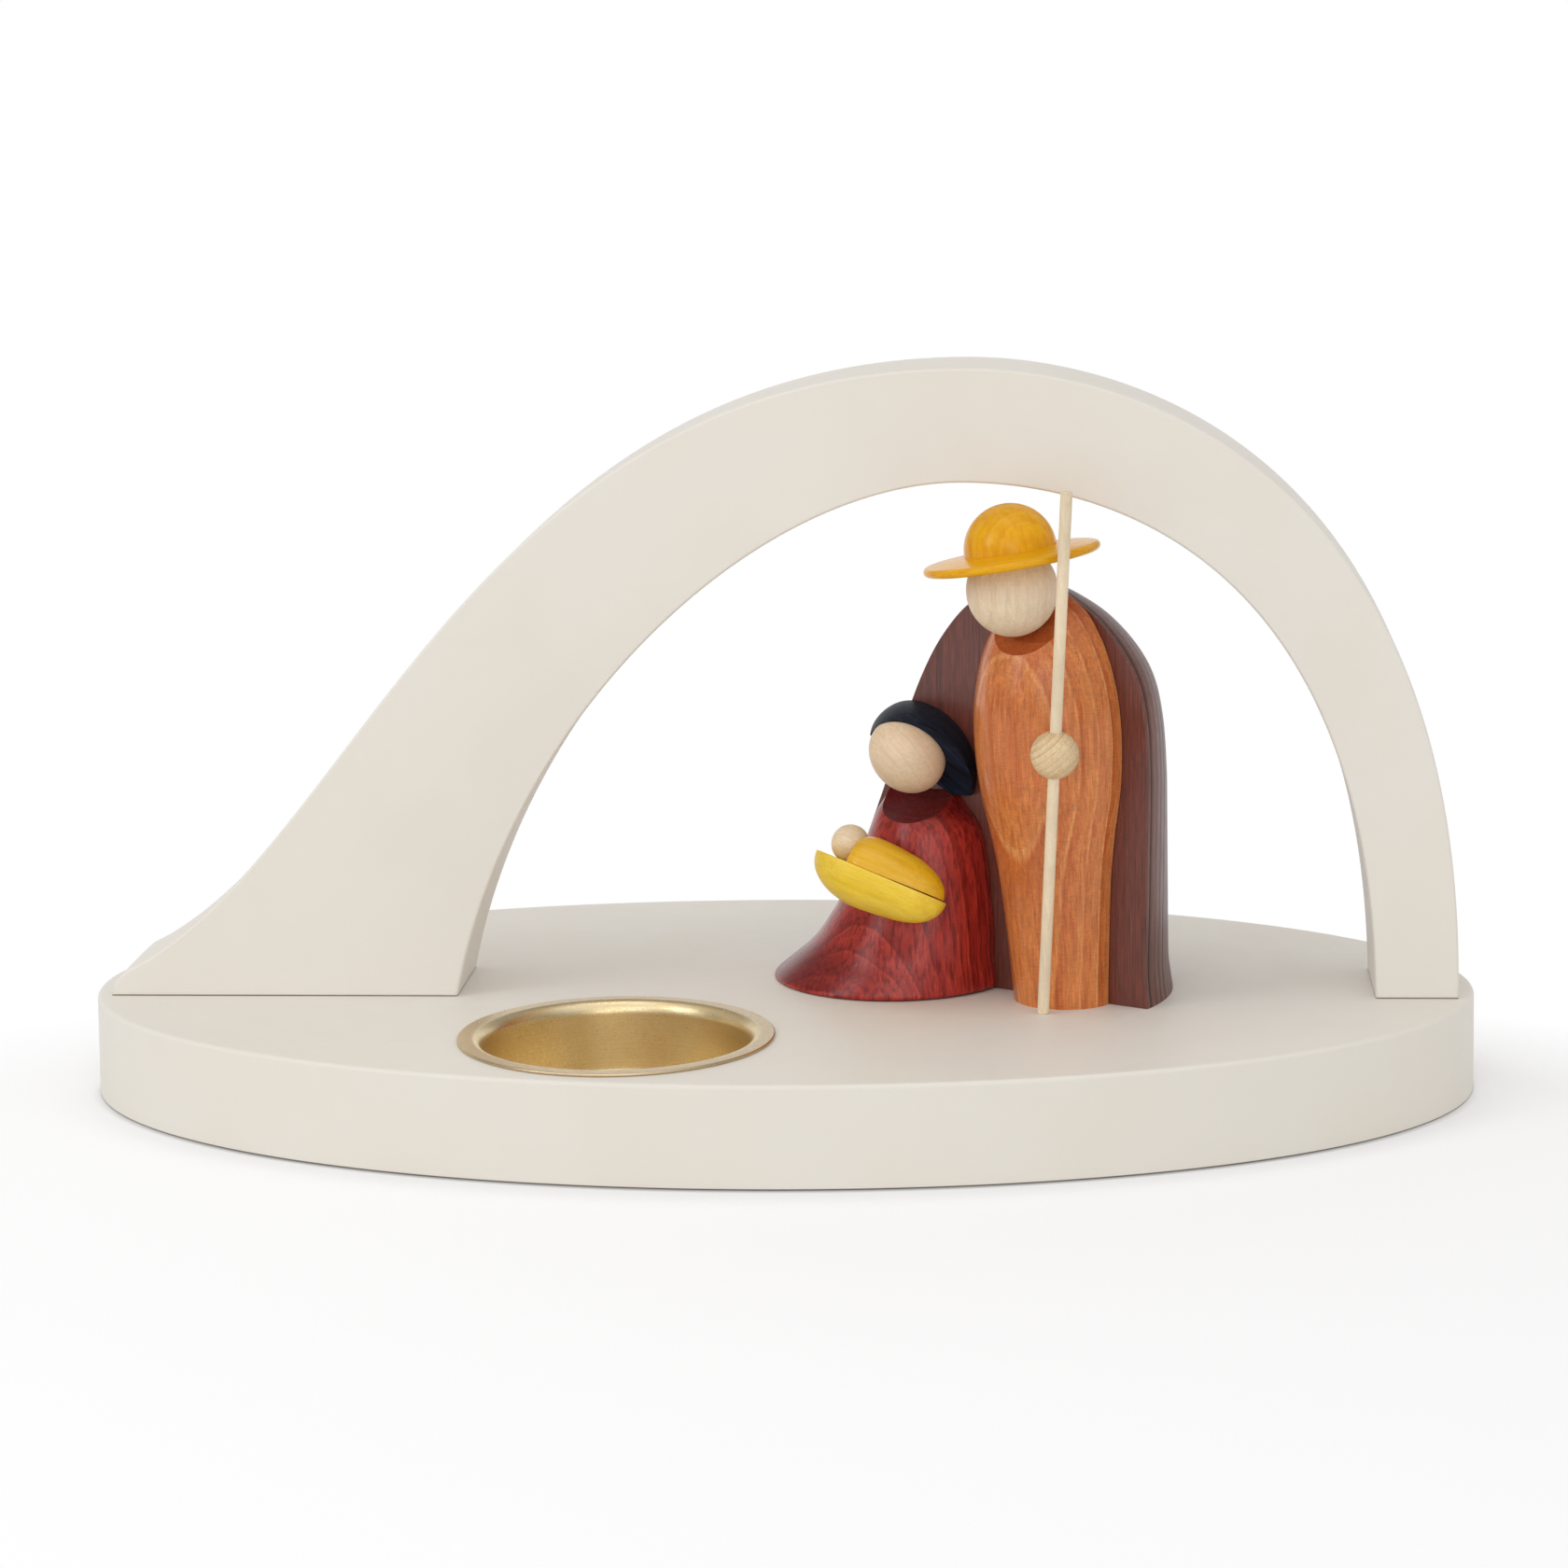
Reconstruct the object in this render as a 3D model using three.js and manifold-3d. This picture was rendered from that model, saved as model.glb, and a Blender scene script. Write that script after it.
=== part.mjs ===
// Tealight holder with a swept arch over a turned nativity group. Millimetres, +Z up.
// The origin is the middle of the base's underside, +X is the long way and the front faces -Y.
import * as THREE from 'three';
import { mergeVertices, toCreasedNormals } from 'three/addons/utils/BufferGeometryUtils.js';
import Module from 'manifold-3d';

const wasm = await Module();
wasm.setup();

// Room left between two pieces that touch or are glued.
const GAP = 0.3;

// Base: an ellipse with slightly broken edges.
const BASE_HALF_X = 108.6;
const BASE_HALF_Y = 62.3;
const BASE_T = 15.4;
const BASE_EDGE = 0.7;

// Arch: a slab standing on the base, its outline drawn in X and height above the base.
const ARCH_FRONT_Y = -9;
const ARCH_T = 20.5;
const ARCH_EDGE = 0.35;
const ARCH_MID_Y = ARCH_FRONT_Y + ARCH_T / 2;
const TIP_X = 3.3 - BASE_HALF_X;
const TIP_RISE = [[0.9, 2.6], [2.5, 4], [4.95, 5.27]];
const OUTER_START_ANGLE = 0.531;
const OUTER_START_PULL = 41;
const OUTER_APEX = [29.4, 98.5];
const OUTER_APEX_PULL = [76.2, 26.2];
const OUTER_FOOT_X = BASE_HALF_X - 3;
const OUTER_FOOT_PULL = [0.8, 82.8];
const LEFT_FOOT_WIDTH = 54.7;
const INNER_START_ANGLE = 1.372;
const INNER_START_PULL = 45.7;
const INNER_APEX = [28.8, 80.8];
const INNER_APEX_PULL = [31.4, 18.6];
const RIGHT_FOOT_WIDTH = 12.8;
const INNER_FOOT_PULL = [-1.4, 72.5];
const INNER_START_X = TIP_X + LEFT_FOOT_WIDTH;
const INNER_FOOT_X = OUTER_FOOT_X - RIGHT_FOOT_WIDTH;

// Cup: a drawn brass insert that lifts out of its bore.
const CUP_X = -22.7;
const CUP_Y = -34.05;
const CUP_FLANGE_R = 23.9;
const CUP_MOUTH_R = 20.2;
const CUP_FLOOR_R = 19.8;
const CUP_SHEET = 0.5;
const CUP_LIP_R = 1.2;
const CUP_DEPTH = 13;
const CUP_CORNER_R = 1.6;

// Dowels: glued in blind holes, half in the base and half in the piece above.
const DOWEL_IN = 8;
const ARCH_DOWEL_R = 3;
const LEFT_DOWEL_IN = [25.3, 43.3];
const SMALL_DOWEL_R = 2.5;
const RIGHT_DOWEL_SPREAD = 10;
const CLOAK_DOWEL_U = [-28, 3];
const CLOAK_DOWEL_BACK = 7;

// Figures: everything half-turned lies on one upright plane, turned about Z.
// In that plane's own frame x runs along it, y is height above the base and z comes out to the front.
const PLANE_TURN = THREE.MathUtils.degToRad(30);
const PLANE_AT = [44.6, -8.8];

// Cloak: the back half of a turned bell, its flat side forward on the plane, its axis leaning.
const CLOAK_PROFILE = [
  [31.4, 0], [30.2, 3], [29.2, 6], [27.2, 14], [24.3, 28], [21.3, 44], [19, 50.2], [16.2, 55.1],
  [12.2, 59.7], [7.7, 63], [3.6, 64.9],
];
const CLOAK_TOP = 65.5;
const CLOAK_AXIS = [
  [-16.4, 0], [-15.6, 3], [-14.8, 6], [-12.8, 14], [-9.9, 28], [-7, 44], [-6.4, 50.2], [-6.2, 55.1],
  [-6.3, 60], [-6.4, 65.5],
];

// Man: half-turned body leaning along the plane, head, hat, staff and hand.
const MAN_LEAN = THREE.MathUtils.degToRad(2.66);
const MAN_PROFILE = [
  [7.9, 0], [8.4, 8], [9.4, 20], [10.5, 27], [11.8, 34], [12.3, 41.4], [11.9, 48], [10.3, 54.7],
  [7.7, 60], [5, 62.6], [2.6, 64],
];
const MAN_TOP = 64.4;
const MAN_HEAD_AT = [36.8, -14.5, 65];
const MAN_HEAD_R = 7.05;
const MAN_HEAD_DROP = 7.2;
const MAN_SCOOP_R = 25;
const HAT_AT = [36.9, -14.5, 69.2];
const HAT_SIDE_TILT = THREE.MathUtils.degToRad(9.3);
const HAT_BACK_TILT = THREE.MathUtils.degToRad(2);
const BRIM_R = 13.7;
const BRIM_EDGE_T = 1.35;
const BRIM_SEAT_T = 2;
const CROWN_R = 7.15;
const STAFF_R = 0.9;
const STAFF_FOOT = [41.3, -18.9, 0];
const STAFF_TOP = [45.3, -29.3, 81.9];
const HAND_R = 3.7;
const HAND_Z = 41.2;

// Woman: half-turned robe whose axis leans, head and hood.
const ROBE_PROFILE = [
  [18.7, 0], [19, 0.6], [17.7, 2.7], [15.6, 6], [14.1, 10], [13, 13.2], [11.3, 19], [9.6, 24.5],
  [8.5, 27], [7, 29], [4.9, 31.3],
];
const ROBE_TOP = 32.4;
const ROBE_AXIS = [
  [-31.8, 0], [-28.5, 6], [-27, 10], [-26, 14], [-24.9, 20], [-24.5, 25], [-25, 29], [-25.6, 32.4],
];
const WOMAN_HEAD_AT = [-24.5, 37.3, 6.76];
const WOMAN_HEAD_LONG = 6.5;
const WOMAN_HEAD_R = 5.65;
const WOMAN_HEAD_TURN = THREE.MathUtils.degToRad(-40);
const WOMAN_SCOOP_AT = [-24.4, 45.2, 12];
const WOMAN_SCOOP_R = 18.8;
const HOOD_AT = [-25.4, 35.8];
const HOOD_LONG = 9.8;
const HOOD_WIDE = 7.9;
const HOOD_DEEP = 16;
const HOOD_TURN = THREE.MathUtils.degToRad(-42);
const HOOD_SWING = THREE.MathUtils.degToRad(24);
const HOOD_REACH = -0.6;
const HOOD_TRIM = 1.8;
const HOOD_FACING = [0.13, -0.48, 0.87];
const HOOD_BOTTOM = 30.5;

// Child: half-ovoid cradle, half-ovoid bundle flat on it, and a ball head.
// Their own frame has x from the head end to the foot end and z out of the cradle's flat top.
const CRADLE_AT = [16.3, -12.2, 19.9];
const CRADLE_YAW = THREE.MathUtils.degToRad(-20);
const CRADLE_DIP = THREE.MathUtils.degToRad(17.7);
const CRADLE_ROLL = THREE.MathUtils.degToRad(-20);
const CRADLE_LENGTH = 22.2;
const CRADLE_PROFILE = [
  [2.1, 0.4], [3.7, 1.7], [5, 3.8], [5.8, 6.6], [5.95, 9.6], [5.45, 15.4], [4.8, 18.3], [3.8, 20.3],
  [2.1, 21.8],
];
const BUNDLE_START = 6;
const BUNDLE_PROFILE = [
  [4.1, 6.2], [5, 7], [5.4, 8.8], [5.2, 12.8], [4.7, 16.4], [3.5, 19.4], [2, 21.1],
];
const BUNDLE_END = 21.8;
const CHILD_HEAD_R = 3;
const CHILD_HEAD_S = 4.4;
const CHILD_HEAD_UP = 2.85;

const TURN_SEGMENTS = 44;
const CREASE = THREE.MathUtils.degToRad(32);

const LACQUER = { color: 0xe5ded3, roughness: 0.55, metalness: 0 };
const BRASS = { color: 0xc2a566, roughness: 0.32, metalness: 1 };
const CLOAK_STAIN = { color: 0x5b3a31, roughness: 0.6, metalness: 0 };
const ORANGE_STAIN = { color: 0xb9682f, roughness: 0.42, metalness: 0 };
const RED_STAIN = { color: 0x7e2425, roughness: 0.35, metalness: 0 };
const NAVY_STAIN = { color: 0x1a2433, roughness: 0.4, metalness: 0 };
const YELLOW_STAIN = { color: 0xdf9f1c, roughness: 0.36, metalness: 0 };
const LEMON_STAIN = { color: 0xe4c62f, roughness: 0.42, metalness: 0 };
const PALE_WOOD = { color: 0xdfc9a6, roughness: 0.55, metalness: 0 };
const BEECH = { color: 0xcda77a, roughness: 0.7, metalness: 0 };

// Boolean work

function solid(geometry) {
  const bare = geometry.clone();
  bare.deleteAttribute('normal');
  bare.deleteAttribute('uv');
  const merged = mergeVertices(bare, 1e-5);
  const mesh = new wasm.Mesh({
    numProp: 3,
    vertProperties: new Float32Array(merged.attributes.position.array),
    triVerts: new Uint32Array(merged.index.array),
  });
  return new wasm.Manifold(mesh);
}

function surface(body) {
  const mesh = body.getMesh();
  const geometry = new THREE.BufferGeometry();
  geometry.setAttribute('position', new THREE.BufferAttribute(new Float32Array(mesh.vertProperties), 3));
  geometry.setIndex(new THREE.BufferAttribute(new Uint32Array(mesh.triVerts), 1));
  return geometry;
}

function cut(geometry, ...tools) {
  return surface(tools.reduce((body, tool) => body.subtract(solid(tool)), solid(geometry)));
}

function keep(geometry, ...regions) {
  return surface(regions.reduce((body, region) => body.intersect(solid(region)), solid(geometry)));
}

// Shapes

// Turns a profile of [radius, height] pairs, closed on the axis at both ends, about the y axis.
function turned(rounded, bottom, top, samples, segments = TURN_SEGMENTS) {
  const curve = new THREE.SplineCurve(rounded.map(([r, y]) => new THREE.Vector2(r, y)));
  const points = [new THREE.Vector2(0, bottom), ...curve.getPoints(samples), new THREE.Vector2(0, top)];
  return new THREE.LatheGeometry(points, segments);
}

// Shifts each height of an upright turned body sideways, so that its middle follows a leaning axis.
function leaned(geometry, axis) {
  const count = 60;
  const line = new THREE.SplineCurve(axis.map(([x, y]) => new THREE.Vector2(x, y))).getPoints(count);
  const at = geometry.attributes.position;
  for (let i = 0; i < at.count; i += 1) {
    const y = THREE.MathUtils.clamp(at.getY(i), line[0].y, line[count].y);
    const next = Math.max(1, line.findIndex((p) => p.y >= y));
    const [a, b] = [line[next - 1], line[next]];
    at.setX(i, at.getX(i) + THREE.MathUtils.mapLinear(y, a.y, b.y, a.x, b.x));
  }
  return geometry;
}

function ellipsoid(long, wide, deep, segments = 28) {
  const geometry = new THREE.SphereGeometry(1, segments, segments / 2);
  return geometry.scale(long, wide, deep);
}

function ball(radius, x, y, z, segments = 24) {
  return new THREE.SphereGeometry(radius, segments, segments / 2).translate(x, y, z);
}

function box(x0, x1, y0, y1, z0, z1) {
  const geometry = new THREE.BoxGeometry(x1 - x0, y1 - y0, z1 - z0);
  return geometry.translate((x0 + x1) / 2, (y0 + y1) / 2, (z0 + z1) / 2);
}

// An upright cylinder from z0 to z1.
function post(radius, x, y, z0, z1, segments = 24) {
  const geometry = new THREE.CylinderGeometry(radius, radius, z1 - z0, segments);
  return geometry.rotateX(Math.PI / 2).translate(x, y, (z0 + z1) / 2);
}

function planeMatrix() {
  const along = new THREE.Vector3(Math.cos(PLANE_TURN), -Math.sin(PLANE_TURN), 0);
  const up = new THREE.Vector3(0, 0, 1);
  const out = new THREE.Vector3(-Math.sin(PLANE_TURN), -Math.cos(PLANE_TURN), 0);
  return new THREE.Matrix4().makeBasis(along, up, out).setPosition(PLANE_AT[0], PLANE_AT[1], BASE_T);
}

const TO_WORLD = planeMatrix();
const TO_PLANE = TO_WORLD.clone().invert();

function inPlane(x, y, z) {
  return new THREE.Vector3(x, y, z + BASE_T).applyMatrix4(TO_PLANE);
}

// Keeps what lies above the base and in front of the plane.
function frontHalf(geometry) {
  return keep(geometry, box(-90, 60, 0, 120, 0, 60));
}

// Base and arch

function baseBlank() {
  const outline = new THREE.Shape();
  outline.absellipse(0, 0, BASE_HALF_X, BASE_HALF_Y, 0, Math.PI * 2, false, 0);
  const geometry = new THREE.ExtrudeGeometry(outline, {
    depth: BASE_T - 2 * BASE_EDGE,
    curveSegments: 50,
    bevelThickness: BASE_EDGE,
    bevelSize: BASE_EDGE,
    bevelOffset: -BASE_EDGE,
    bevelSegments: 1,
  });
  return geometry.translate(0, 0, BASE_EDGE);
}

// Every dowel as [radius, x, y].
function dowelPlaces() {
  const rightX = (INNER_FOOT_X + OUTER_FOOT_X) / 2;
  const left = LEFT_DOWEL_IN.map((inwards) => [ARCH_DOWEL_R, TIP_X + inwards, ARCH_MID_Y]);
  const right = [-1, 1].map((side) => [SMALL_DOWEL_R, rightX, ARCH_MID_Y + side * RIGHT_DOWEL_SPREAD / 2]);
  const cloak = CLOAK_DOWEL_U.map((u) => {
    const at = new THREE.Vector3(u, 0, -CLOAK_DOWEL_BACK).applyMatrix4(TO_WORLD);
    return [SMALL_DOWEL_R, at.x, at.y];
  });
  return { left, right, cloak };
}

function dowelHole([radius, x, y]) {
  const reach = DOWEL_IN + GAP;
  return post(radius + GAP, x, y, BASE_T - reach, BASE_T + reach);
}

function dowel([radius, x, y]) {
  return post(radius, x, y, BASE_T - DOWEL_IN, BASE_T + DOWEL_IN);
}

function basePlate() {
  const places = dowelPlaces();
  const holes = [...places.left, ...places.right, ...places.cloak].map(dowelHole);
  const boreR = CUP_MOUTH_R + CUP_LIP_R + 0.1;
  const bore = post(boreR, CUP_X, CUP_Y, BASE_T - CUP_DEPTH - 2 * GAP, BASE_T + 5, 52);
  return cut(baseBlank(), bore, ...holes);
}

// A point at a distance and an angle from another one.
function aimed([x, y], angle, distance) {
  return [x + distance * Math.cos(angle), y + distance * Math.sin(angle)];
}

function archOutline() {
  const outline = new THREE.Shape();
  const rise = TIP_RISE.map(([inwards, height]) => [TIP_X + inwards, height]);
  const outerAim = aimed(rise[rise.length - 1], OUTER_START_ANGLE, OUTER_START_PULL);
  const outerFootAim = [OUTER_FOOT_X + OUTER_FOOT_PULL[0], OUTER_FOOT_PULL[1]];
  const innerFootAim = [INNER_FOOT_X + INNER_FOOT_PULL[0], INNER_FOOT_PULL[1]];
  const innerAim = aimed([INNER_START_X, 0], INNER_START_ANGLE, INNER_START_PULL);
  const [outerX, outerTop] = OUTER_APEX;
  const [innerX, innerTop] = INNER_APEX;
  outline.moveTo(TIP_X, 0);
  rise.forEach((point) => outline.lineTo(...point));
  outline.bezierCurveTo(...outerAim, outerX - OUTER_APEX_PULL[0], outerTop, outerX, outerTop);
  outline.bezierCurveTo(outerX + OUTER_APEX_PULL[1], outerTop, ...outerFootAim, OUTER_FOOT_X, 0);
  outline.lineTo(INNER_FOOT_X, 0);
  outline.bezierCurveTo(...innerFootAim, innerX + INNER_APEX_PULL[1], innerTop, innerX, innerTop);
  outline.bezierCurveTo(innerX - INNER_APEX_PULL[0], innerTop, ...innerAim, INNER_START_X, 0);
  outline.closePath();
  return outline;
}

function arch() {
  const geometry = new THREE.ExtrudeGeometry(archOutline(), {
    depth: ARCH_T - 2 * ARCH_EDGE,
    curveSegments: 30,
    bevelThickness: ARCH_EDGE,
    bevelSize: ARCH_EDGE,
    bevelOffset: -ARCH_EDGE,
    bevelSegments: 1,
  });
  geometry.translate(0, 0, -(ARCH_FRONT_Y + ARCH_T) + ARCH_EDGE);
  geometry.rotateX(Math.PI / 2).translate(0, 0, BASE_T);
  const places = dowelPlaces();
  return cut(geometry, ...[...places.left, ...places.right].map(dowelHole));
}

// Cup

function arc(cx, cy, radius, from, to, steps) {
  return Array.from({ length: steps + 1 }, (_, i) => {
    const a = from + ((to - from) * i) / steps;
    return new THREE.Vector2(cx + radius * Math.cos(a), cy + radius * Math.sin(a));
  });
}

function tealightCup() {
  const half = Math.PI / 2;
  const lipX = CUP_MOUTH_R + CUP_LIP_R;
  const lipY = CUP_SHEET - CUP_LIP_R;
  const cornerX = CUP_FLOOR_R - CUP_CORNER_R;
  const cornerY = -CUP_DEPTH + CUP_SHEET + CUP_CORNER_R;
  const points = [
    new THREE.Vector2(0, -CUP_DEPTH),
    ...arc(cornerX, cornerY, CUP_CORNER_R + CUP_SHEET, -half, 0, 3),
    ...arc(lipX, lipY, CUP_LIP_R - CUP_SHEET, Math.PI, half, 3),
    ...arc(CUP_FLANGE_R - CUP_SHEET / 2, CUP_SHEET / 2, CUP_SHEET / 2, -half, half, 2),
    ...arc(lipX, lipY, CUP_LIP_R, half, Math.PI, 4),
    ...arc(cornerX, cornerY, CUP_CORNER_R, 0, -half, 3),
    new THREE.Vector2(0, -CUP_DEPTH + CUP_SHEET),
  ];
  const geometry = new THREE.LatheGeometry(points, 52);
  return geometry.rotateX(Math.PI / 2).translate(CUP_X, CUP_Y, BASE_T);
}

// Cloak

function cloak() {
  const bell = leaned(turned(CLOAK_PROFILE, 0, CLOAK_TOP, 20, 52), CLOAK_AXIS);
  const backHalf = keep(bell, box(-90, 60, 0, 120, -60, 0)).applyMatrix4(TO_WORLD);
  return cut(backHalf, ...dowelPlaces().cloak.map(dowelHole));
}

// Man

// A shallow ball cutter that passes just behind and below a head, seen in the plane's frame.
function scoop(at, headR, radius) {
  const back = new THREE.Vector3(0, 0.67, 0.742).normalize();
  const centre = at.clone().addScaledVector(back, radius - headR - GAP);
  return ball(radius, centre.x, centre.y, centre.z, 48);
}

function manHeadEgg(grow) {
  const geometry = ellipsoid(MAN_HEAD_R + grow, MAN_HEAD_R + grow, MAN_HEAD_DROP + grow);
  return geometry.translate(MAN_HEAD_AT[0], MAN_HEAD_AT[1], MAN_HEAD_AT[2] + BASE_T);
}

function manBody() {
  const geometry = turned([[7.8, -4], ...MAN_PROFILE], -4, MAN_TOP, 22);
  geometry.rotateZ(MAN_LEAN);
  const head = inPlane(...MAN_HEAD_AT);
  const egg = manHeadEgg(GAP).applyMatrix4(TO_PLANE);
  return cut(frontHalf(geometry), scoop(head, MAN_HEAD_R, MAN_SCOOP_R), egg).applyMatrix4(TO_WORLD);
}

function hatMatrix() {
  const tilt = new THREE.Euler(-HAT_BACK_TILT, -HAT_SIDE_TILT, 0, 'YXZ');
  const matrix = new THREE.Matrix4().makeRotationFromEuler(tilt);
  return matrix.setPosition(HAT_AT[0], HAT_AT[1], HAT_AT[2] + BASE_T);
}

function manHead() {
  const above = box(-40, 40, -40, 40, 0, 40).applyMatrix4(hatMatrix());
  return cut(manHeadEgg(0), above);
}

function hatBrim() {
  const half = Math.PI / 2;
  const edgeR = BRIM_EDGE_T / 2;
  const points = [
    new THREE.Vector2(0, 0),
    ...arc(BRIM_R - edgeR, edgeR, edgeR, -half, half, 4),
    new THREE.Vector2(CROWN_R + 0.2, BRIM_SEAT_T),
    new THREE.Vector2(0, BRIM_SEAT_T),
  ];
  const geometry = new THREE.LatheGeometry(points, TURN_SEGMENTS).rotateX(Math.PI / 2);
  return geometry.applyMatrix4(hatMatrix());
}

function hatCrown() {
  const points = [new THREE.Vector2(0, 0), ...arc(0, 0, CROWN_R, 0, Math.PI / 2, 9)];
  points[points.length - 1].x = 0;
  const geometry = new THREE.LatheGeometry(points, 36).rotateX(Math.PI / 2).translate(0, 0, BRIM_SEAT_T);
  return geometry.applyMatrix4(hatMatrix());
}

function staffRod(radius, extra) {
  const foot = new THREE.Vector3(...STAFF_FOOT);
  const top = new THREE.Vector3(...STAFF_TOP);
  const along = top.clone().sub(foot).normalize();
  const length = top.distanceTo(foot) + 2 * extra;
  const geometry = new THREE.CylinderGeometry(radius, radius, length, 16);
  const turn = new THREE.Quaternion().setFromUnitVectors(new THREE.Vector3(0, 1, 0), along);
  geometry.applyQuaternion(turn);
  const middle = foot.add(top).multiplyScalar(0.5);
  return geometry.translate(middle.x, middle.y, middle.z + BASE_T);
}

function staff() {
  const rod = staffRod(STAFF_R, 1);
  return keep(rod, box(0, 80, -60, 20, BASE_T, BASE_T + STAFF_TOP[2]));
}

function handBall() {
  const t = HAND_Z / STAFF_TOP[2];
  const x = THREE.MathUtils.lerp(STAFF_FOOT[0], STAFF_TOP[0], t);
  const y = THREE.MathUtils.lerp(STAFF_FOOT[1], STAFF_TOP[1], t);
  return cut(ball(HAND_R, x, y, HAND_Z + BASE_T, 24), staffRod(STAFF_R + GAP, 5));
}

// Woman

function robeBlank(grow) {
  const rounded = ROBE_PROFILE.map(([r, y]) => [r + grow, y]);
  return leaned(turned(rounded, 0, ROBE_TOP + grow, 21), ROBE_AXIS);
}

function womanHeadEgg(grow) {
  const geometry = ellipsoid(WOMAN_HEAD_LONG + grow, WOMAN_HEAD_R + grow, WOMAN_HEAD_R + grow);
  return geometry.rotateZ(WOMAN_HEAD_TURN).translate(...WOMAN_HEAD_AT);
}

function womanRobe() {
  const neck = ball(WOMAN_SCOOP_R, ...WOMAN_SCOOP_AT, 48);
  return cut(frontHalf(robeBlank(0)), neck, womanHeadEgg(GAP)).applyMatrix4(TO_WORLD);
}

function womanHead() {
  return womanHeadEgg(0).applyMatrix4(TO_WORLD);
}

// Everything behind the hood's open face, which passes just behind the middle of the head.
function behindFace() {
  const facing = new THREE.Vector3(...HOOD_FACING).normalize();
  const turn = new THREE.Quaternion().setFromUnitVectors(new THREE.Vector3(0, 0, 1), facing);
  return box(-40, 40, -40, 40, -40, HOOD_REACH).applyQuaternion(turn).translate(...WOMAN_HEAD_AT);
}

// Everything above the hood's lower long side, which lies behind the head.
function aboveTrim() {
  const region = box(-40, 40, -HOOD_TRIM, 40, -20, 40);
  return region.rotateZ(HOOD_TURN).translate(...WOMAN_HEAD_AT);
}

function headscarf() {
  const geometry = ellipsoid(HOOD_LONG, HOOD_WIDE, HOOD_DEEP, 32);
  geometry.rotateZ(HOOD_TURN).rotateY(HOOD_SWING).translate(HOOD_AT[0], HOOD_AT[1], 0);
  const half = keep(geometry, box(-60, 20, HOOD_BOTTOM, 70, 0, 60), behindFace(), aboveTrim());
  return cut(half, womanHeadEgg(GAP), robeBlank(GAP)).applyMatrix4(TO_WORLD);
}

// Child

function cradleMatrix() {
  const turn = new THREE.Euler(CRADLE_ROLL, CRADLE_DIP, CRADLE_YAW, 'ZYX');
  const matrix = new THREE.Matrix4().makeRotationFromEuler(turn);
  matrix.setPosition(CRADLE_AT[0], CRADLE_AT[1], CRADLE_AT[2] + BASE_T);
  return matrix.multiply(new THREE.Matrix4().makeTranslation(-CRADLE_LENGTH / 2, 0, 0));
}

// Lays a turned body's axis along x, its lower end at x = 0.
function lying(geometry) {
  return geometry.rotateZ(-Math.PI / 2);
}

function cradle() {
  const ovoid = lying(turned(CRADLE_PROFILE, 0, CRADLE_LENGTH, 14, 36));
  const half = keep(ovoid, box(-5, 30, -12, 12, -12, 0));
  const dimpled = cut(half, childHeadBall(CHILD_HEAD_R + GAP)).applyMatrix4(cradleMatrix());
  return cut(dimpled, robeBlank(GAP).applyMatrix4(TO_WORLD));
}

function childHeadBall(radius) {
  return ball(radius, CHILD_HEAD_S, 0, CHILD_HEAD_UP, 22);
}

function childBody() {
  const ovoid = lying(turned(BUNDLE_PROFILE, BUNDLE_START, BUNDLE_END, 11, 32));
  const half = keep(ovoid, box(-5, 30, -12, 12, 0, 12));
  const shaped = cut(half, childHeadBall(CHILD_HEAD_R + GAP)).applyMatrix4(cradleMatrix());
  return cut(shaped, robeBlank(GAP).applyMatrix4(TO_WORLD));
}

function childHead() {
  return childHeadBall(CHILD_HEAD_R).applyMatrix4(cradleMatrix());
}

// Assembly

const group = new THREE.Group();
group.name = 'nativity_tealight_holder';

function add(name, geometry, look) {
  const mesh = new THREE.Mesh(toCreasedNormals(geometry, CREASE), new THREE.MeshStandardMaterial(look));
  mesh.name = name;
  mesh.material.name = name;
  group.add(mesh);
}

add('base_plate', basePlate(), LACQUER);
add('arch', arch(), LACQUER);
add('tealight_cup', tealightCup(), BRASS);
add('cloak', cloak(), CLOAK_STAIN);
add('man_body', manBody(), ORANGE_STAIN);
add('man_head', manHead(), PALE_WOOD);
add('hat_brim', hatBrim(), YELLOW_STAIN);
add('hat_crown', hatCrown(), YELLOW_STAIN);
add('staff', staff(), PALE_WOOD);
add('hand_ball', handBall(), PALE_WOOD);
add('woman_robe', womanRobe(), RED_STAIN);
add('woman_head', womanHead(), PALE_WOOD);
add('headscarf', headscarf(), NAVY_STAIN);
add('cradle', cradle(), LEMON_STAIN);
add('child_body', childBody(), YELLOW_STAIN);
add('child_head', childHead(), PALE_WOOD);
Object.entries(dowelPlaces()).forEach(([where, places]) => {
  places.forEach((place, i) => add(`dowel_${where}_${i + 1}`, dowel(place), BEECH));
});

export default group;
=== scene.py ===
"""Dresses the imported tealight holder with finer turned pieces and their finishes, and sets it in a plain studio.

Sizes are millimetres and become Blender's metres where points are made. Heights count from the base's top
unless a name says otherwise. Figures are drawn in the frame of the upright plane on which all the half-turned
pieces lie: x runs along it, y goes to its back and z is up.
"""

import math

import bmesh
import bpy
from mathutils import Matrix, Vector


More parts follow.
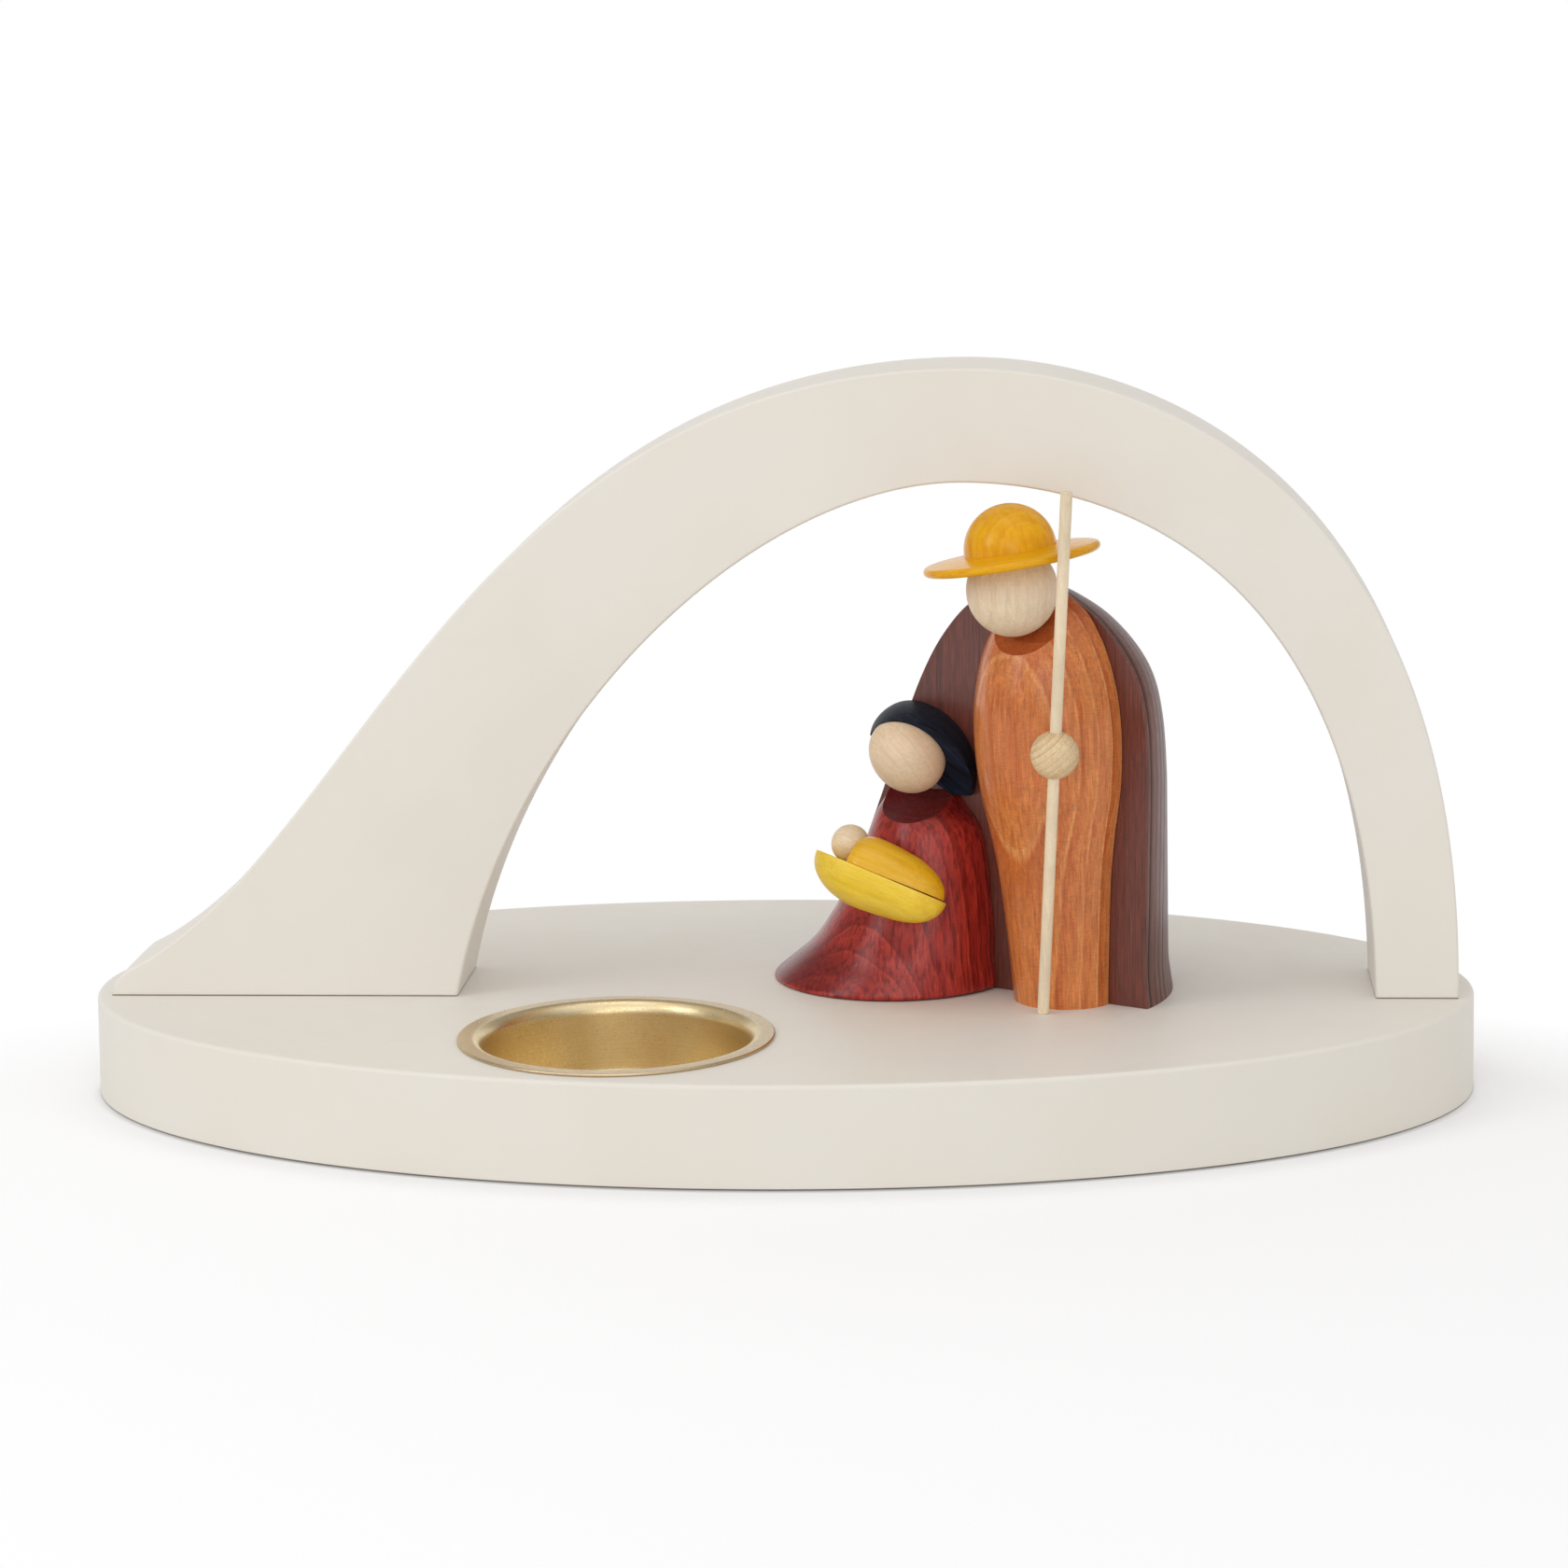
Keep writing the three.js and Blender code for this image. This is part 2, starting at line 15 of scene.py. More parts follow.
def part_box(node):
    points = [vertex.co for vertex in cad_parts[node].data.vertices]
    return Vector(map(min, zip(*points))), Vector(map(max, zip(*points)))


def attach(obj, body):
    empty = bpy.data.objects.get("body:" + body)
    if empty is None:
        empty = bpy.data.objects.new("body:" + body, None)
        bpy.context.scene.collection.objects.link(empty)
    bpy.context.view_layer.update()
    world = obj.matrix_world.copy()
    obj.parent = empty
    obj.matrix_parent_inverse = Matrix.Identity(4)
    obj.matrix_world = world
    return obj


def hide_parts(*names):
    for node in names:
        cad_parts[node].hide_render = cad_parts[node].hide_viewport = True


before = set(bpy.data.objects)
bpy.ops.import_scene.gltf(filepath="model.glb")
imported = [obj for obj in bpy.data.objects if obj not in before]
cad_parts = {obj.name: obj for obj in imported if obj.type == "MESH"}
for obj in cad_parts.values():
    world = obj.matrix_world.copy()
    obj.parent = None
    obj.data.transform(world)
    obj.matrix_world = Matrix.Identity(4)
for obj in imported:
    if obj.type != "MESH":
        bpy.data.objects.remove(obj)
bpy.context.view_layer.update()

MM = 0.001

# Joints between pieces: the gap of a glued one, the play round a dowel and the height of a painted shade line at a
# foot
CONTACT = 0.04
DOWEL_CLEARANCE = 0.3
FOOT_SHADE_HEIGHT = 0.22

# Base
BASE_HALF_X = 108.6
BASE_HALF_Y = 62.3
BASE_T = 15.4
BASE_EDGE = 0.7
BASE_FOOT_EDGE = 0.15
BORE_PLAY = 0.1
BORE_BELOW_CUP = 0.6
BORE_CUT_ABOVE = 5

# Arch. Its outline is seen from the front, as x and height. A pull is the reach of a curve's handle.
ARCH_FRONT_Y = -9
ARCH_T = 20.5
ARCH_EDGE = 0.45
TIP_FROM_END = 3.3
TIP_X = TIP_FROM_END - BASE_HALF_X
TIP_RISE = ((0.9, 2.6), (2.5, 4), (4.95, 5.27))
LEFT_FOOT_WIDTH = 54.7
RIGHT_FOOT_FROM_END = 3
RIGHT_FOOT_WIDTH = 12.8
OUTER_START_ANGLE = 0.531
OUTER_START_PULL = 41
OUTER_APEX = Vector((29.4, 98.5))
OUTER_APEX_PULL = (76.2, 26.2)
OUTER_FOOT_X = BASE_HALF_X - RIGHT_FOOT_FROM_END
OUTER_FOOT_PULL = (0.8, 82.8)
INNER_START_X = TIP_X + LEFT_FOOT_WIDTH
INNER_START_ANGLE = 1.372
INNER_START_PULL = 45.7
INNER_APEX = Vector((28.8, 80.8))
INNER_APEX_PULL = (31.4, 18.6)
INNER_FOOT_X = OUTER_FOOT_X - RIGHT_FOOT_WIDTH
INNER_FOOT_PULL = (-1.4, 72.5)

# Cup
CUP_AT = (-22.7, -34.05)
CUP_FLANGE_R = 23.9
CUP_MOUTH_R = 20.2
CUP_FLOOR_R = 19.8
CUP_SHEET = 0.5
CUP_LIP = (1.6, 2.2)
CUP_DEPTH = 13
CUP_CORNER_R = 3

# Plane of the figures
PLANE_TURN = math.radians(30)
PLANE_AT = (44.6, -8.8, BASE_T)

# Cloak: radius and height, and where its leaning axis stands at a height
CLOAK_PROFILE = [
    (31.25, 0), (30.1, 3), (29.1, 6), (27.2, 14), (24.45, 28), (23, 36), (21.3, 44), (19.25, 50.2),
    (16.45, 55.1), (12.4, 59.7), (7.75, 63), (3.6, 64.9), (0, 65.5),
]
CLOAK_AXIS = [
    (-16.55, 0), (-15.7, 3), (-14.9, 6), (-12.8, 14), (-9.75, 28), (-8.2, 36), (-6.9, 44), (-6.1, 50.2),
    (-5.95, 55.1), (-6.1, 60), (-6.4, 65.5),
]
CLOAK_EDGE = 0.2

# Man and woman share the rounding of their flat side's edges and the fineness of the balls that cut their scoops.
FIGURE_EDGE = 0.25
SCOOP_STEPS = 160

# Man
MAN_LEAN = math.radians(2.66)
MAN_PROFILE = [
    (7.8, -4), (7.9, 0), (8.4, 8), (9.4, 20), (10.5, 27), (11.8, 34), (12.3, 41.4), (11.9, 48),
    (10.3, 54.7), (7.7, 60), (5, 62.6), (2.6, 64), (0, 64.4),
]
MAN_HEAD_AT = (36.8, -14.5, 65)
MAN_HEAD_R = 7.05
MAN_HEAD_DROP = 7.2
MAN_SCOOP_R = 25
MAN_SCOOP_WAY = Vector((0, -0.742, 0.67))
HAT_AT = (36.9, -14.5, 69.2)
HAT_SIDE_TILT = math.radians(9.3)
HAT_BACK_TILT = math.radians(2)
BRIM_R = 13.7
BRIM_EDGE_T = 1.35
BRIM_SEAT_T = 2
BRIM_SEAT_PLAY = 0.2
CROWN_R = 7.15
STAFF_R = 0.9
STAFF_EDGE = 0.12
STAFF_FOOT = Vector((41.3, -18.9, 0))
STAFF_TOP = Vector((45.3, -29.3, 81.9))
HAND_R = 3.7
HAND_Z = 41.2
HAND_CHANNEL_HALF = 6

# Woman
ROBE_PROFILE = [
    (18.7, 0), (19, 0.6), (17.7, 2.7), (15.6, 6), (14.1, 10), (13, 13.2), (11.3, 19), (9.6, 24.5),
    (8.5, 27), (7, 29), (4.9, 31.3), (0, 32.4),
]
ROBE_AXIS = [
    (-31.8, 0), (-28.5, 6), (-27, 10), (-26, 14), (-24.9, 20), (-24.5, 25), (-25, 29), (-25.6, 32.4),
]
WOMAN_HEAD_AT = (-24.5, -6.76, 37.3)
WOMAN_HEAD_LONG = 6.5
WOMAN_HEAD_R = 5.65
WOMAN_HEAD_TURN = math.radians(40)
WOMAN_SCOOP_AT = (-24.4, -12, 45.2)
WOMAN_SCOOP_R = 18.8
# The hood is an egg with four flat cuts: at the plane, at HOOD_BOTTOM and, this far from the middle of the head,
# before the face (HOOD_REACH) and under the chin (HOOD_TRIM).
HOOD_AT = (-25.4, 0, 35.8)
HOOD_SIZE = (9.8, 16, 7.9)
HOOD_TURN = math.radians(42)
HOOD_SWING = math.radians(24)
HOOD_FACING = (0.13, -0.87, -0.48)
HOOD_REACH = -0.6
HOOD_TRIM = 1.8
HOOD_BOTTOM = 30.5

# Child. The profiles lie along the cradle, as (radius, place along it).
CRADLE_AT = (16.3, -12.2, 19.9)
CRADLE_YAW = math.radians(-20)
CRADLE_DIP = math.radians(17.7)
CRADLE_ROLL = math.radians(-20)
CRADLE_LENGTH = 22.2
CRADLE_PROFILE = [
    (0, 0), (2.1, 0.4), (3.7, 1.7), (5, 3.8), (5.8, 6.6), (5.95, 9.6), (5.45, 15.4), (4.8, 18.3),
    (3.8, 20.3), (2.1, 21.8), (0, CRADLE_LENGTH),
]
BUNDLE_PROFILE = [
    (0, 6), (4.1, 6.2), (5, 7), (5.4, 8.8), (5.2, 12.8), (4.7, 16.4), (3.5, 19.4), (2, 21.1), (0, 21.8),
]
BUNDLE_LIFT_FROM = 9
BUNDLE_LIFT = math.radians(1.1)
CHILD_EDGE = 0.12
CHILD_HEAD_R = 3
CHILD_HEAD_AT = (4.4, 0, 2.85)

# Camera, fitted to the ellipse of the base, the cup's rim and the arch. Its angles are in degrees.
CAMERA_AT = (50.0, -650.7, 171.8)
CAMERA_YAW = 2.586
CAMERA_PITCH = 6.539
CAMERA_ROLL = -0.47
CAMERA_LENS = 96.58
CAMERA_SENSOR = 36
CAMERA_SHIFT = (-0.08, -0.2)
CAMERA_CLIP = (0.01, 50)

WHITE = (1, 1, 1)
BLACK = (0, 0, 0)

# The world lights the part evenly, but mirrored rays see a grey room in it. The room grows white low behind the
# part, where y + BEHIND_SLOPE * z of a ray's direction goes through the range BEHIND, and likewise at the ceiling,
# with z + CEILING_SLOPE * y and CEILING.
WORLD_TINT = (1, 0.985, 0.965)
WORLD_STRENGTH = 0.8
ROOM_STRENGTH = 0.3
BEHIND = (0.25, 0.55)
BEHIND_SLOPE = -1.2
CEILING = (0.6, 0.95)
CEILING_SLOPE = -0.6

# The floor shows the object's cast shadow, with a painted shadow added near the base, and fades to plain white,
# sooner behind it than before it.
# Its paper is what is seen, and FLOOR_BOUNCE is the colour of the light that it throws on the part.
FLOOR_HALF = 3000
FLOOR_Z = -0.02
FLOOR_FADE = (8, 60)
FLOOR_FADE_BACKWARDS = 0.8
FLOOR_PAPER = (0.97, 0.98, 1)
FLOOR_BOUNCE = (0.82, 0.815, 0.8)
FLOOR_GLOW = 0.05

# A painted shadow lies on the floor along the base: a thin dark line and a wider faint halo. Each has a width
# and the share of light that is left at its inner edge. Both come in with the distance from the base's long axis,
# over a range of y.
CONTACT_LINE = 1.5
CONTACT_LINE_LIGHT = 0.3
CONTACT_HALO = 9
CONTACT_HALO_LIGHT = 0.86
CONTACT_FROM_SIDE = (4, 45)

# Limits of the geometry: a ring below this radius is a point, a rounding takes at most this share of a radius, and
# a mitre reaches at most as far as this cosine lets it. CORNER_STEPS is how finely a small rounding is divided.
POINT_R = 1e-4
EDGE_SHARE = 0.3
MITRE_COSINE = 0.3
CORNER_STEPS = 5


# Frames

def frame_of(x_axis, y_axis, z_axis, origin):
    matrix = Matrix((x_axis, y_axis, z_axis)).transposed().to_4x4()
    matrix.translation = Vector(origin) * MM
    return matrix


def shifted(x, y, z):
    return Matrix.Translation(Vector((x, y, z)) * MM)


def turned_by(angle, axis):
    return Matrix.Rotation(angle, 4, axis)


PLANE = frame_of(
    (math.cos(PLANE_TURN), -math.sin(PLANE_TURN), 0),
    (math.sin(PLANE_TURN), math.cos(PLANE_TURN), 0),
    (0, 0, 1),
    PLANE_AT,
)
ON_BASE = shifted(0, 0, BASE_T)
HAT = ON_BASE @ shifted(*HAT_AT) @ turned_by(-HAT_SIDE_TILT, "Y") @ turned_by(-HAT_BACK_TILT, "X")
CRADLE = (
    ON_BASE @ shifted(*CRADLE_AT) @ turned_by(CRADLE_YAW, "Z") @ turned_by(CRADLE_DIP, "Y")
    @ turned_by(CRADLE_ROLL, "X") @ shifted(-CRADLE_LENGTH / 2, 0, 0)
)
# Takes a body turned about z to one that lies along the cradle's x, its flat side up.
LYING = Matrix(((0, 0, 1, 0), (1, 0, 0, 0), (0, 1, 0, 0), (0, 0, 0, 1)))
WOMAN_HEAD = PLANE @ shifted(*WOMAN_HEAD_AT) @ turned_by(WOMAN_HEAD_TURN, "Y")
HOOD = PLANE @ shifted(*HOOD_AT) @ turned_by(HOOD_SWING, "Z") @ turned_by(HOOD_TURN, "Y")


# Curves and sections

def smooth_line(points, steps):
    """A smooth curve through the points. Where it ends on the axis, it ends square to it."""
    first = (-points[1][0], points[1][1]) if points[0][0] == 0 else points[0]
    last = (-points[-2][0], points[-2][1]) if points[-1][0] == 0 else points[-1]
    padded = [Vector(p) for p in (first, *points, last)]
    line = []
    for i in range(steps + 1):
        at = i * (len(points) - 1) / steps
        k = min(int(at), len(points) - 2)
        t = at - k
        a, b, c, d = padded[k:k + 4]
        slope_b, slope_c = (c - a) / 2, (d - b) / 2
        line.append(
            (2 * b - 2 * c + slope_b + slope_c) * t ** 3
            + (3 * c - 3 * b - 2 * slope_b - slope_c) * t ** 2 + slope_b * t + b
        )
    return line


def bezier(a, b, c, d, steps):
    """Points along a cubic curve, without its last one."""
    a, b, c, d = (Vector(p) for p in (a, b, c, d))
    line = []
    for i in range(steps):
        t = i / steps
        s = 1 - t
        line.append(a * s ** 3 + b * 3 * s * s * t + c * 3 * s * t * t + d * t ** 3)
    return line


def oval_arc(centre, radii, start, end, steps):
    """Points on part of an ellipse, its angles in degrees."""
    angles = [math.radians(start + (end - start) * i / steps) for i in range(steps + 1)]
    return [Vector((centre[0] + radii[0] * math.cos(a), centre[1] + radii[1] * math.sin(a))) for a in angles]


def arc(centre, radius, start, end, steps):
    return oval_arc(centre, (radius, radius), start, end, steps)


def circle(radius, height, steps, centre=0.0):
    if radius < POINT_R:
        return [(centre, 0, height)]
    angles = [2 * math.pi * i / steps for i in range(steps)]
    return [(centre + radius * math.cos(a), radius * math.sin(a), height) for a in angles]


def half_disc(radius, height, side, edge, centre, steps=56):
    """A half disc on one side of y = 0 with its two corners slightly rounded."""
    if radius < POINT_R:
        return [(centre, 0, height)]
    e = min(edge, EDGE_SHARE * radius)
    reach = math.sqrt((radius - e) ** 2 - e * e)
    start = math.degrees(math.atan2(e, reach))
    points = arc((0, 0), radius, start, 180 - start, steps)
    points += arc((-reach, e), e, 180 - start, 270, CORNER_STEPS)[1:]
    points += arc((reach, e), e, 270, 360 + start, CORNER_STEPS)[:-1]
    return [(centre + x, side * y, height) for x, y in points]


def leaning(axis):
    """The sideways place of a leaning axis at a height, or 0 without one."""
    if not axis:
        return lambda height: 0.0
    line = smooth_line(axis, steps=60)

    def at(height):
        height = min(max(height, line[0].y), line[-1].y)
        for a, b in zip(line, line[1:]):
            if b.y >= height:
                return a.x + (b.x - a.x) * (height - a.y) / (b.y - a.y)
        return line[-1].x

    return at


def inset(points, distance):
    """A closed outline moved inwards, mitred at its corners. The outline runs clockwise."""
    moved = []
    for i, p in enumerate(points):
        before = (p - points[i - 1]).normalized()
        after = (points[(i + 1) % len(points)] - p).normalized()
        inward = [Vector((d.y, -d.x)) for d in (before, after)]
        middle = (inward[0] + inward[1]).normalized()
        moved.append(p + middle * distance / max(middle.dot(inward[0]), MITRE_COSINE))
    return moved


def rounding(edge):
    """Pairs of (inwards, depth) from a flat face round its edge to the side."""
    angles = [math.pi / 2 * i / CORNER_STEPS for i in range(CORNER_STEPS + 1)]
    return [(edge * (1 - math.sin(a)), edge * (1 - math.cos(a))) for a in angles]


def aimed(point, angle, distance):
    return Vector(point) + distance * Vector((math.cos(angle), math.sin(angle)))


def sideways(point, distance):
    return point + Vector((distance, 0))


# Meshes

def as_piece(name, bm, matrix):
    bmesh.ops.recalc_face_normals(bm, faces=bm.faces)
    mesh = bpy.data.meshes.new(name)
    bm.to_mesh(mesh)
    bm.free()
    piece = bpy.data.objects.new(name, mesh)
    bpy.context.scene.collection.objects.link(piece)
    piece.matrix_world = matrix
    return piece


def loft(name, rings, matrix=Matrix.Identity(4)):
    """Joins rings of equally many points with quads. A ring of one point closes an end, a longer one is capped."""
    bm = bmesh.new()
    rows = [[bm.verts.new(Vector(p) * MM) for p in ring] for ring in rings]
    for low, high in zip(rows, rows[1:]):
        count = max(len(low), len(high))
        for i in range(count):
            j = (i + 1) % count
            corners = (low[i % len(low)], low[j % len(low)], high[j % len(high)], high[i % len(high)])
            bm.faces.new(list(dict.fromkeys(corners)))
    for row in (rows[0], rows[-1]):
        if len(row) > 1:
            bm.faces.new(row)
    return as_piece(name, bm, matrix)


def turned(name, profile, matrix, steps=96, axis=None):
    """A body turned about z, or about a leaning axis, from (radius, height) pairs."""
    centre = leaning(axis)
    return loft(name, [circle(r, z, steps, centre(z)) for r, z in profile], matrix)


def half_turned(name, profile, matrix, side, edge, axis=None):
    """Half of a turned body, on one side of the plane y = 0."""
    centre = leaning(axis)
    return loft(name, [half_disc(r, z, side, edge, centre(z)) for r, z in profile], matrix)


def egg(name, radii, matrix, steps=72):
    """An ellipsoid as rings about its z axis."""
    rings = []
    for x, z in arc((0, 0), 1, start=-90, end=90, steps=steps // 2):
        ring = circle(max(x, 0) if abs(z) < 1 else 0, z, steps)
        rings.append([(px * radii[0], py * radii[1], pz * radii[2]) for px, py, pz in ring])
    return loft(name, rings, matrix)


def post(radius, x, y, low, high, steps=48):
    """An upright round cutter."""
    return loft("cutter", [circle(radius, low, steps), circle(radius, high, steps)], shifted(x, y, 0))


def bake_modifiers(piece):
    bpy.context.view_layer.update()
    evaluated = piece.evaluated_get(bpy.context.evaluated_depsgraph_get())
    mesh = bpy.data.meshes.new_from_object(evaluated)
    old = piece.data
    piece.modifiers.clear()
    piece.data = mesh
    bpy.data.meshes.remove(old)
    mesh.name = piece.name


def carve(piece, *tools):
    """Cuts the tools out of a piece and removes them."""
    for tool in tools:
        modifier = piece.modifiers.new("carve", "BOOLEAN")
        modifier.operation = "DIFFERENCE"
        modifier.solver = "EXACT"
        modifier.object = tool
    bake_modifiers(piece)
    for tool in tools:
        bpy.data.meshes.remove(tool.data)


def slice_off(piece, space, point, normal):
    """Removes what lies beyond a plane, given in millimetres of a frame, and closes the cut."""
    to_piece = piece.matrix_world.inverted() @ space
    bm = bmesh.new()
    bm.from_mesh(piece.data)
    cut = bmesh.ops.bisect_plane(
        bm,
        geom=[*bm.verts, *bm.edges, *bm.faces],
        dist=1e-8,
        plane_co=to_piece @ (Vector(point) * MM),
        plane_no=(to_piece.to_3x3() @ Vector(normal)).normalized(),
        clear_outer=True,
    )
    edges = [e for e in cut["geom_cut"] if isinstance(e, bmesh.types.BMEdge)]
    bmesh.ops.edgeloop_fill(bm, edges=edges)
    bmesh.ops.recalc_face_normals(bm, faces=bm.faces)
    bm.to_mesh(piece.data)
    bm.free()


def finish(piece, node, material, crease=34, body="holder"):
    """Smooths a piece between its creases, gives it its finish and lets it stand for its CAD node."""
    piece.data.shade_smooth()
    piece.data.set_sharp_from_angle(angle=math.radians(crease))
    weighted = piece.modifiers.new("weighted", "WEIGHTED_NORMAL")
    weighted.mode = "FACE_AREA"
    weighted.keep_sharp = True
    bake_modifiers(piece)
    piece.data.materials.clear()
    piece.data.materials.append(material)
    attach(piece, body)
    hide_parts(node)


# Node graphs

def linear(colour):
    """A colour written as six hexadecimal digits, as linear RGBA."""
    channels = [int(colour[i:i + 2], 16) / 255 for i in (0, 2, 4)]
    return [c / 12.92 if c <= 0.04045 else ((c + 0.055) / 1.055) ** 2.4 for c in channels] + [1]


class Graph:
    """A node tree with short calls for the kinds of node used here."""

    def __init__(self, tree):
        self.tree = tree

    def node(self, kind, inputs, **properties):
        made = self.tree.nodes.new("ShaderNode" + kind)
        for key, value in properties.items():
            setattr(made, key, value)
        for key, value in inputs.items():
            if isinstance(value, bpy.types.NodeSocket):
                self.tree.links.new(value, made.inputs[key])
            elif value is not None:
                made.inputs[key].default_value = value
        return made

    def math(self, operation, a, b=None, c=None):
        return self.node("Math", {0: a, 1: b, 2: c}, operation=operation).outputs[0]

    def hypotenuse(self, x, y):
        squares = self.math("ADD", self.math("MULTIPLY", x, x), self.math("MULTIPLY", y, y))
        return self.math("SQRT", squares)

    def largest(self, first, *others):
        for other in others:
            first = self.math("MAXIMUM", first, other)
        return first

    def parts(self, vector):
        return self.node("SeparateXYZ", {0: vector}).outputs

    def stretched(self, place, x, y, z):
        return self.node("VectorMath", {0: place, 1: (x, y, z)}, operation="MULTIPLY").outputs[0]

    def length(self, vector):
        return self.node("VectorMath", {0: vector}, operation="LENGTH").outputs["Value"]

    def coordinates(self, kind):
        return self.node("TexCoord", {}).outputs[kind]

    def millimetres(self, grain):
        """The piece's own coordinates in millimetres, turned so that the grain runs along z."""
        inputs = {0: self.coordinates("Object"), "Scale": 1 / MM}
        scaled = self.node("VectorMath", inputs, operation="SCALE").outputs[0]
        if grain == "Z":
            return scaled
        parts = self.parts(scaled)
        order = {"X": (1, 2, 0), "Y": (2, 0, 1)}[grain]
        return self.node("CombineXYZ", {i: parts[k] for i, k in enumerate(order)}).outputs[0]

    def noise(self, place, scale=1.0, detail=2.0, roughness=0.5):
        inputs = {"Vector": place, "Scale": scale, "Detail": detail, "Roughness": roughness}
        return self.node("TexNoise", inputs).outputs[0]

    def noise_along(self, value, scale, detail=1.0):
        inputs = {"W": value, "Scale": scale, "Detail": detail}
        return self.node("TexNoise", inputs, noise_dimensions="1D").outputs[0]

    def remap(self, value, low, high, to_low=0.0, to_high=1.0):
        """Eases from one number to another as a value goes from low to high."""
        inputs = {0: value, 1: low, 2: high, 3: to_low, 4: to_high}
        return self.node("MapRange", inputs, interpolation_type="SMOOTHSTEP").outputs[0]

    def rising(self, value, low, high, start):
        """Goes straight from start to 1 as a value goes from low to high."""
        return self.node("MapRange", {0: value, 1: low, 2: high, 3: start}).outputs[0]

    def ramp(self, value, *stops):
        made = self.node("ValToRGB", {0: value})
        elements = made.color_ramp.elements
        while len(elements) < len(stops):
            elements.new(1)
        for element, (position, grey) in zip(elements, stops):
            element.position = position
            element.color = (grey, grey, grey, 1)
        return made.outputs[0]

    def mix(self, factor, a, b, blend="MIX"):
        made = self.node("Mix", {0: factor, 6: a, 7: b}, data_type="RGBA", blend_type=blend)
        return made.outputs[2]

    def plain(self, kind, colour):
        """A shader of one colour."""
        return self.node(kind, {"Color": (*colour, 1)}).outputs[0]

    def mixed(self, factor, first, second):
        return self.node("MixShader", {0: factor, 1: first, 2: second}).outputs[0]

    def seen(self):
        """1 for rays that see the background itself: the camera's, mirrored and refracted ones."""
        path = self.node("LightPath", {}).outputs
        return self.largest(path["Is Camera Ray"], path["Is Glossy Ray"], path["Is Transmission Ray"])

    def show(self, output, surface):
        self.tree.links.new(surface, self.tree.nodes[output].inputs["Surface"])


class Finish(Graph):
    """A material whose Principled shader takes its settings by name, with _ for a space."""

    def __init__(self, name, **settings):
        self.material = bpy.data.materials.new(name)
        self.material.use_nodes = True
        super().__init__(self.material.node_tree)
        self.principled = self.tree.nodes["Principled BSDF"]
        for socket, value in settings.items():
            self.principled.inputs[socket.replace("_", " ")].default_value = value

    def wire(self, socket, value):
        self.tree.links.new(value, self.principled.inputs[socket])

    def bump(self, height, distance, strength):
        inputs = {"Height": height, "Distance": distance * MM, "Strength": strength}
        self.wire("Normal", self.node("Bump", inputs).outputs[0])


# Finishes. Noise has a mean of 0.5, and its scale counts in features per millimetre.

def dust(g, place):
    """Where a speck lies, as 0 or 1, and how dark it is."""
    cells = g.node("TexVoronoi", {"Vector": place, "Scale": 0.085, "Randomness": 1.0})
    chance = g.parts(cells.outputs["Color"])
    reach = g.remap(chance[0], 0.55, 1.0, to_low=0.0, to_high=0.022)
    speck = g.math("LESS_THAN", cells.outputs["Distance"], reach)
    return speck, g.remap(chance[1], 0.0, 1.0, to_low=0.25, to_high=0.8)


def lacquer(name, foot):
    """Matt cream lacquer: a fine orange-peel skin, faint clouding, a few dust specks and a dark painted shade line
    at the foot.
    """
    g = Finish(name, IOR=1.46)
    place = g.millimetres("Z")
    clouds = g.noise(place, scale=0.035, detail=3, roughness=0.55)
    colour = g.mix(g.remap(clouds, 0.35, 0.65), linear("e7e2d9"), linear("e9e5dd"))
    speck, darkness = dust(g, place)
    colour = g.mix(g.math("MULTIPLY", speck, darkness), colour, linear("a89c8e"))
    # Painted shade: a brown line darkens the colour just above the foot, where the piece meets the floor or the
    # base.
    foot_shade = g.remap(g.parts(place)[2], foot + FOOT_SHADE_HEIGHT / 2, foot + FOOT_SHADE_HEIGHT, to_low=0.85, to_high=0)
    g.wire("Base Color", g.mix(foot_shade, colour, linear("6b5a4c")))
    sheen = g.noise(place, scale=0.4, detail=3)
    g.wire("Roughness", g.remap(sheen, 0.3, 0.7, to_low=0.46, to_high=0.56))
    skin = g.noise(place, scale=1.6, detail=3, roughness=0.6)
    raised_speck = g.math("MULTIPLY", speck, 2.5)
    g.bump(g.math("ADD", skin, raised_speck), distance=0.012, strength=0.55)
    return g.material


def years_from_pith(g, place, pith, pitch, phase, spacing, wander):
    """A point's distance from the pith, in growth rings."""
    parts = g.parts(place)
    drift = g.noise(g.stretched(place, 0.06, 0.06, 0.014))
    drift = g.math("MULTIPLY", g.math("SUBTRACT", drift, 0.5), wander)
    across = g.math("SUBTRACT", parts[0], float(pith[0]))
    deepways = g.math("SUBTRACT", parts[1], float(pith[1]))
    distance = g.math("ADD", g.hypotenuse(across, deepways), drift)
    years = g.math("MULTIPLY_ADD", distance, 1 / pitch, phase)
    return g.math("ADD", years, g.math("MULTIPLY", g.noise_along(years, 0.8), spacing))


def marks_of_year(g, years, band_from):
    """How much of a year's dark band and of its thin light line a point shows. Some years are fainter."""
    season = g.math("FRACT", years)
    each = g.node("TexWhiteNoise", {"W": g.math("FLOOR", years)}, noise_dimensions="1D").outputs[0]
    strength = g.remap(each, 0.0, 1.0, to_low=0.45, to_high=1.0)
    light = g.ramp(season, (0, 0.45), (0.05, 0.25), (0.3, 0), (0.87, 0), (0.92, 1), (0.97, 1))
    dark = g.ramp(season, (0, 0), (band_from, 0), (0.83, 1), (0.9, 0))
    return g.math("MULTIPLY", dark, strength), g.math("MULTIPLY", light, strength)


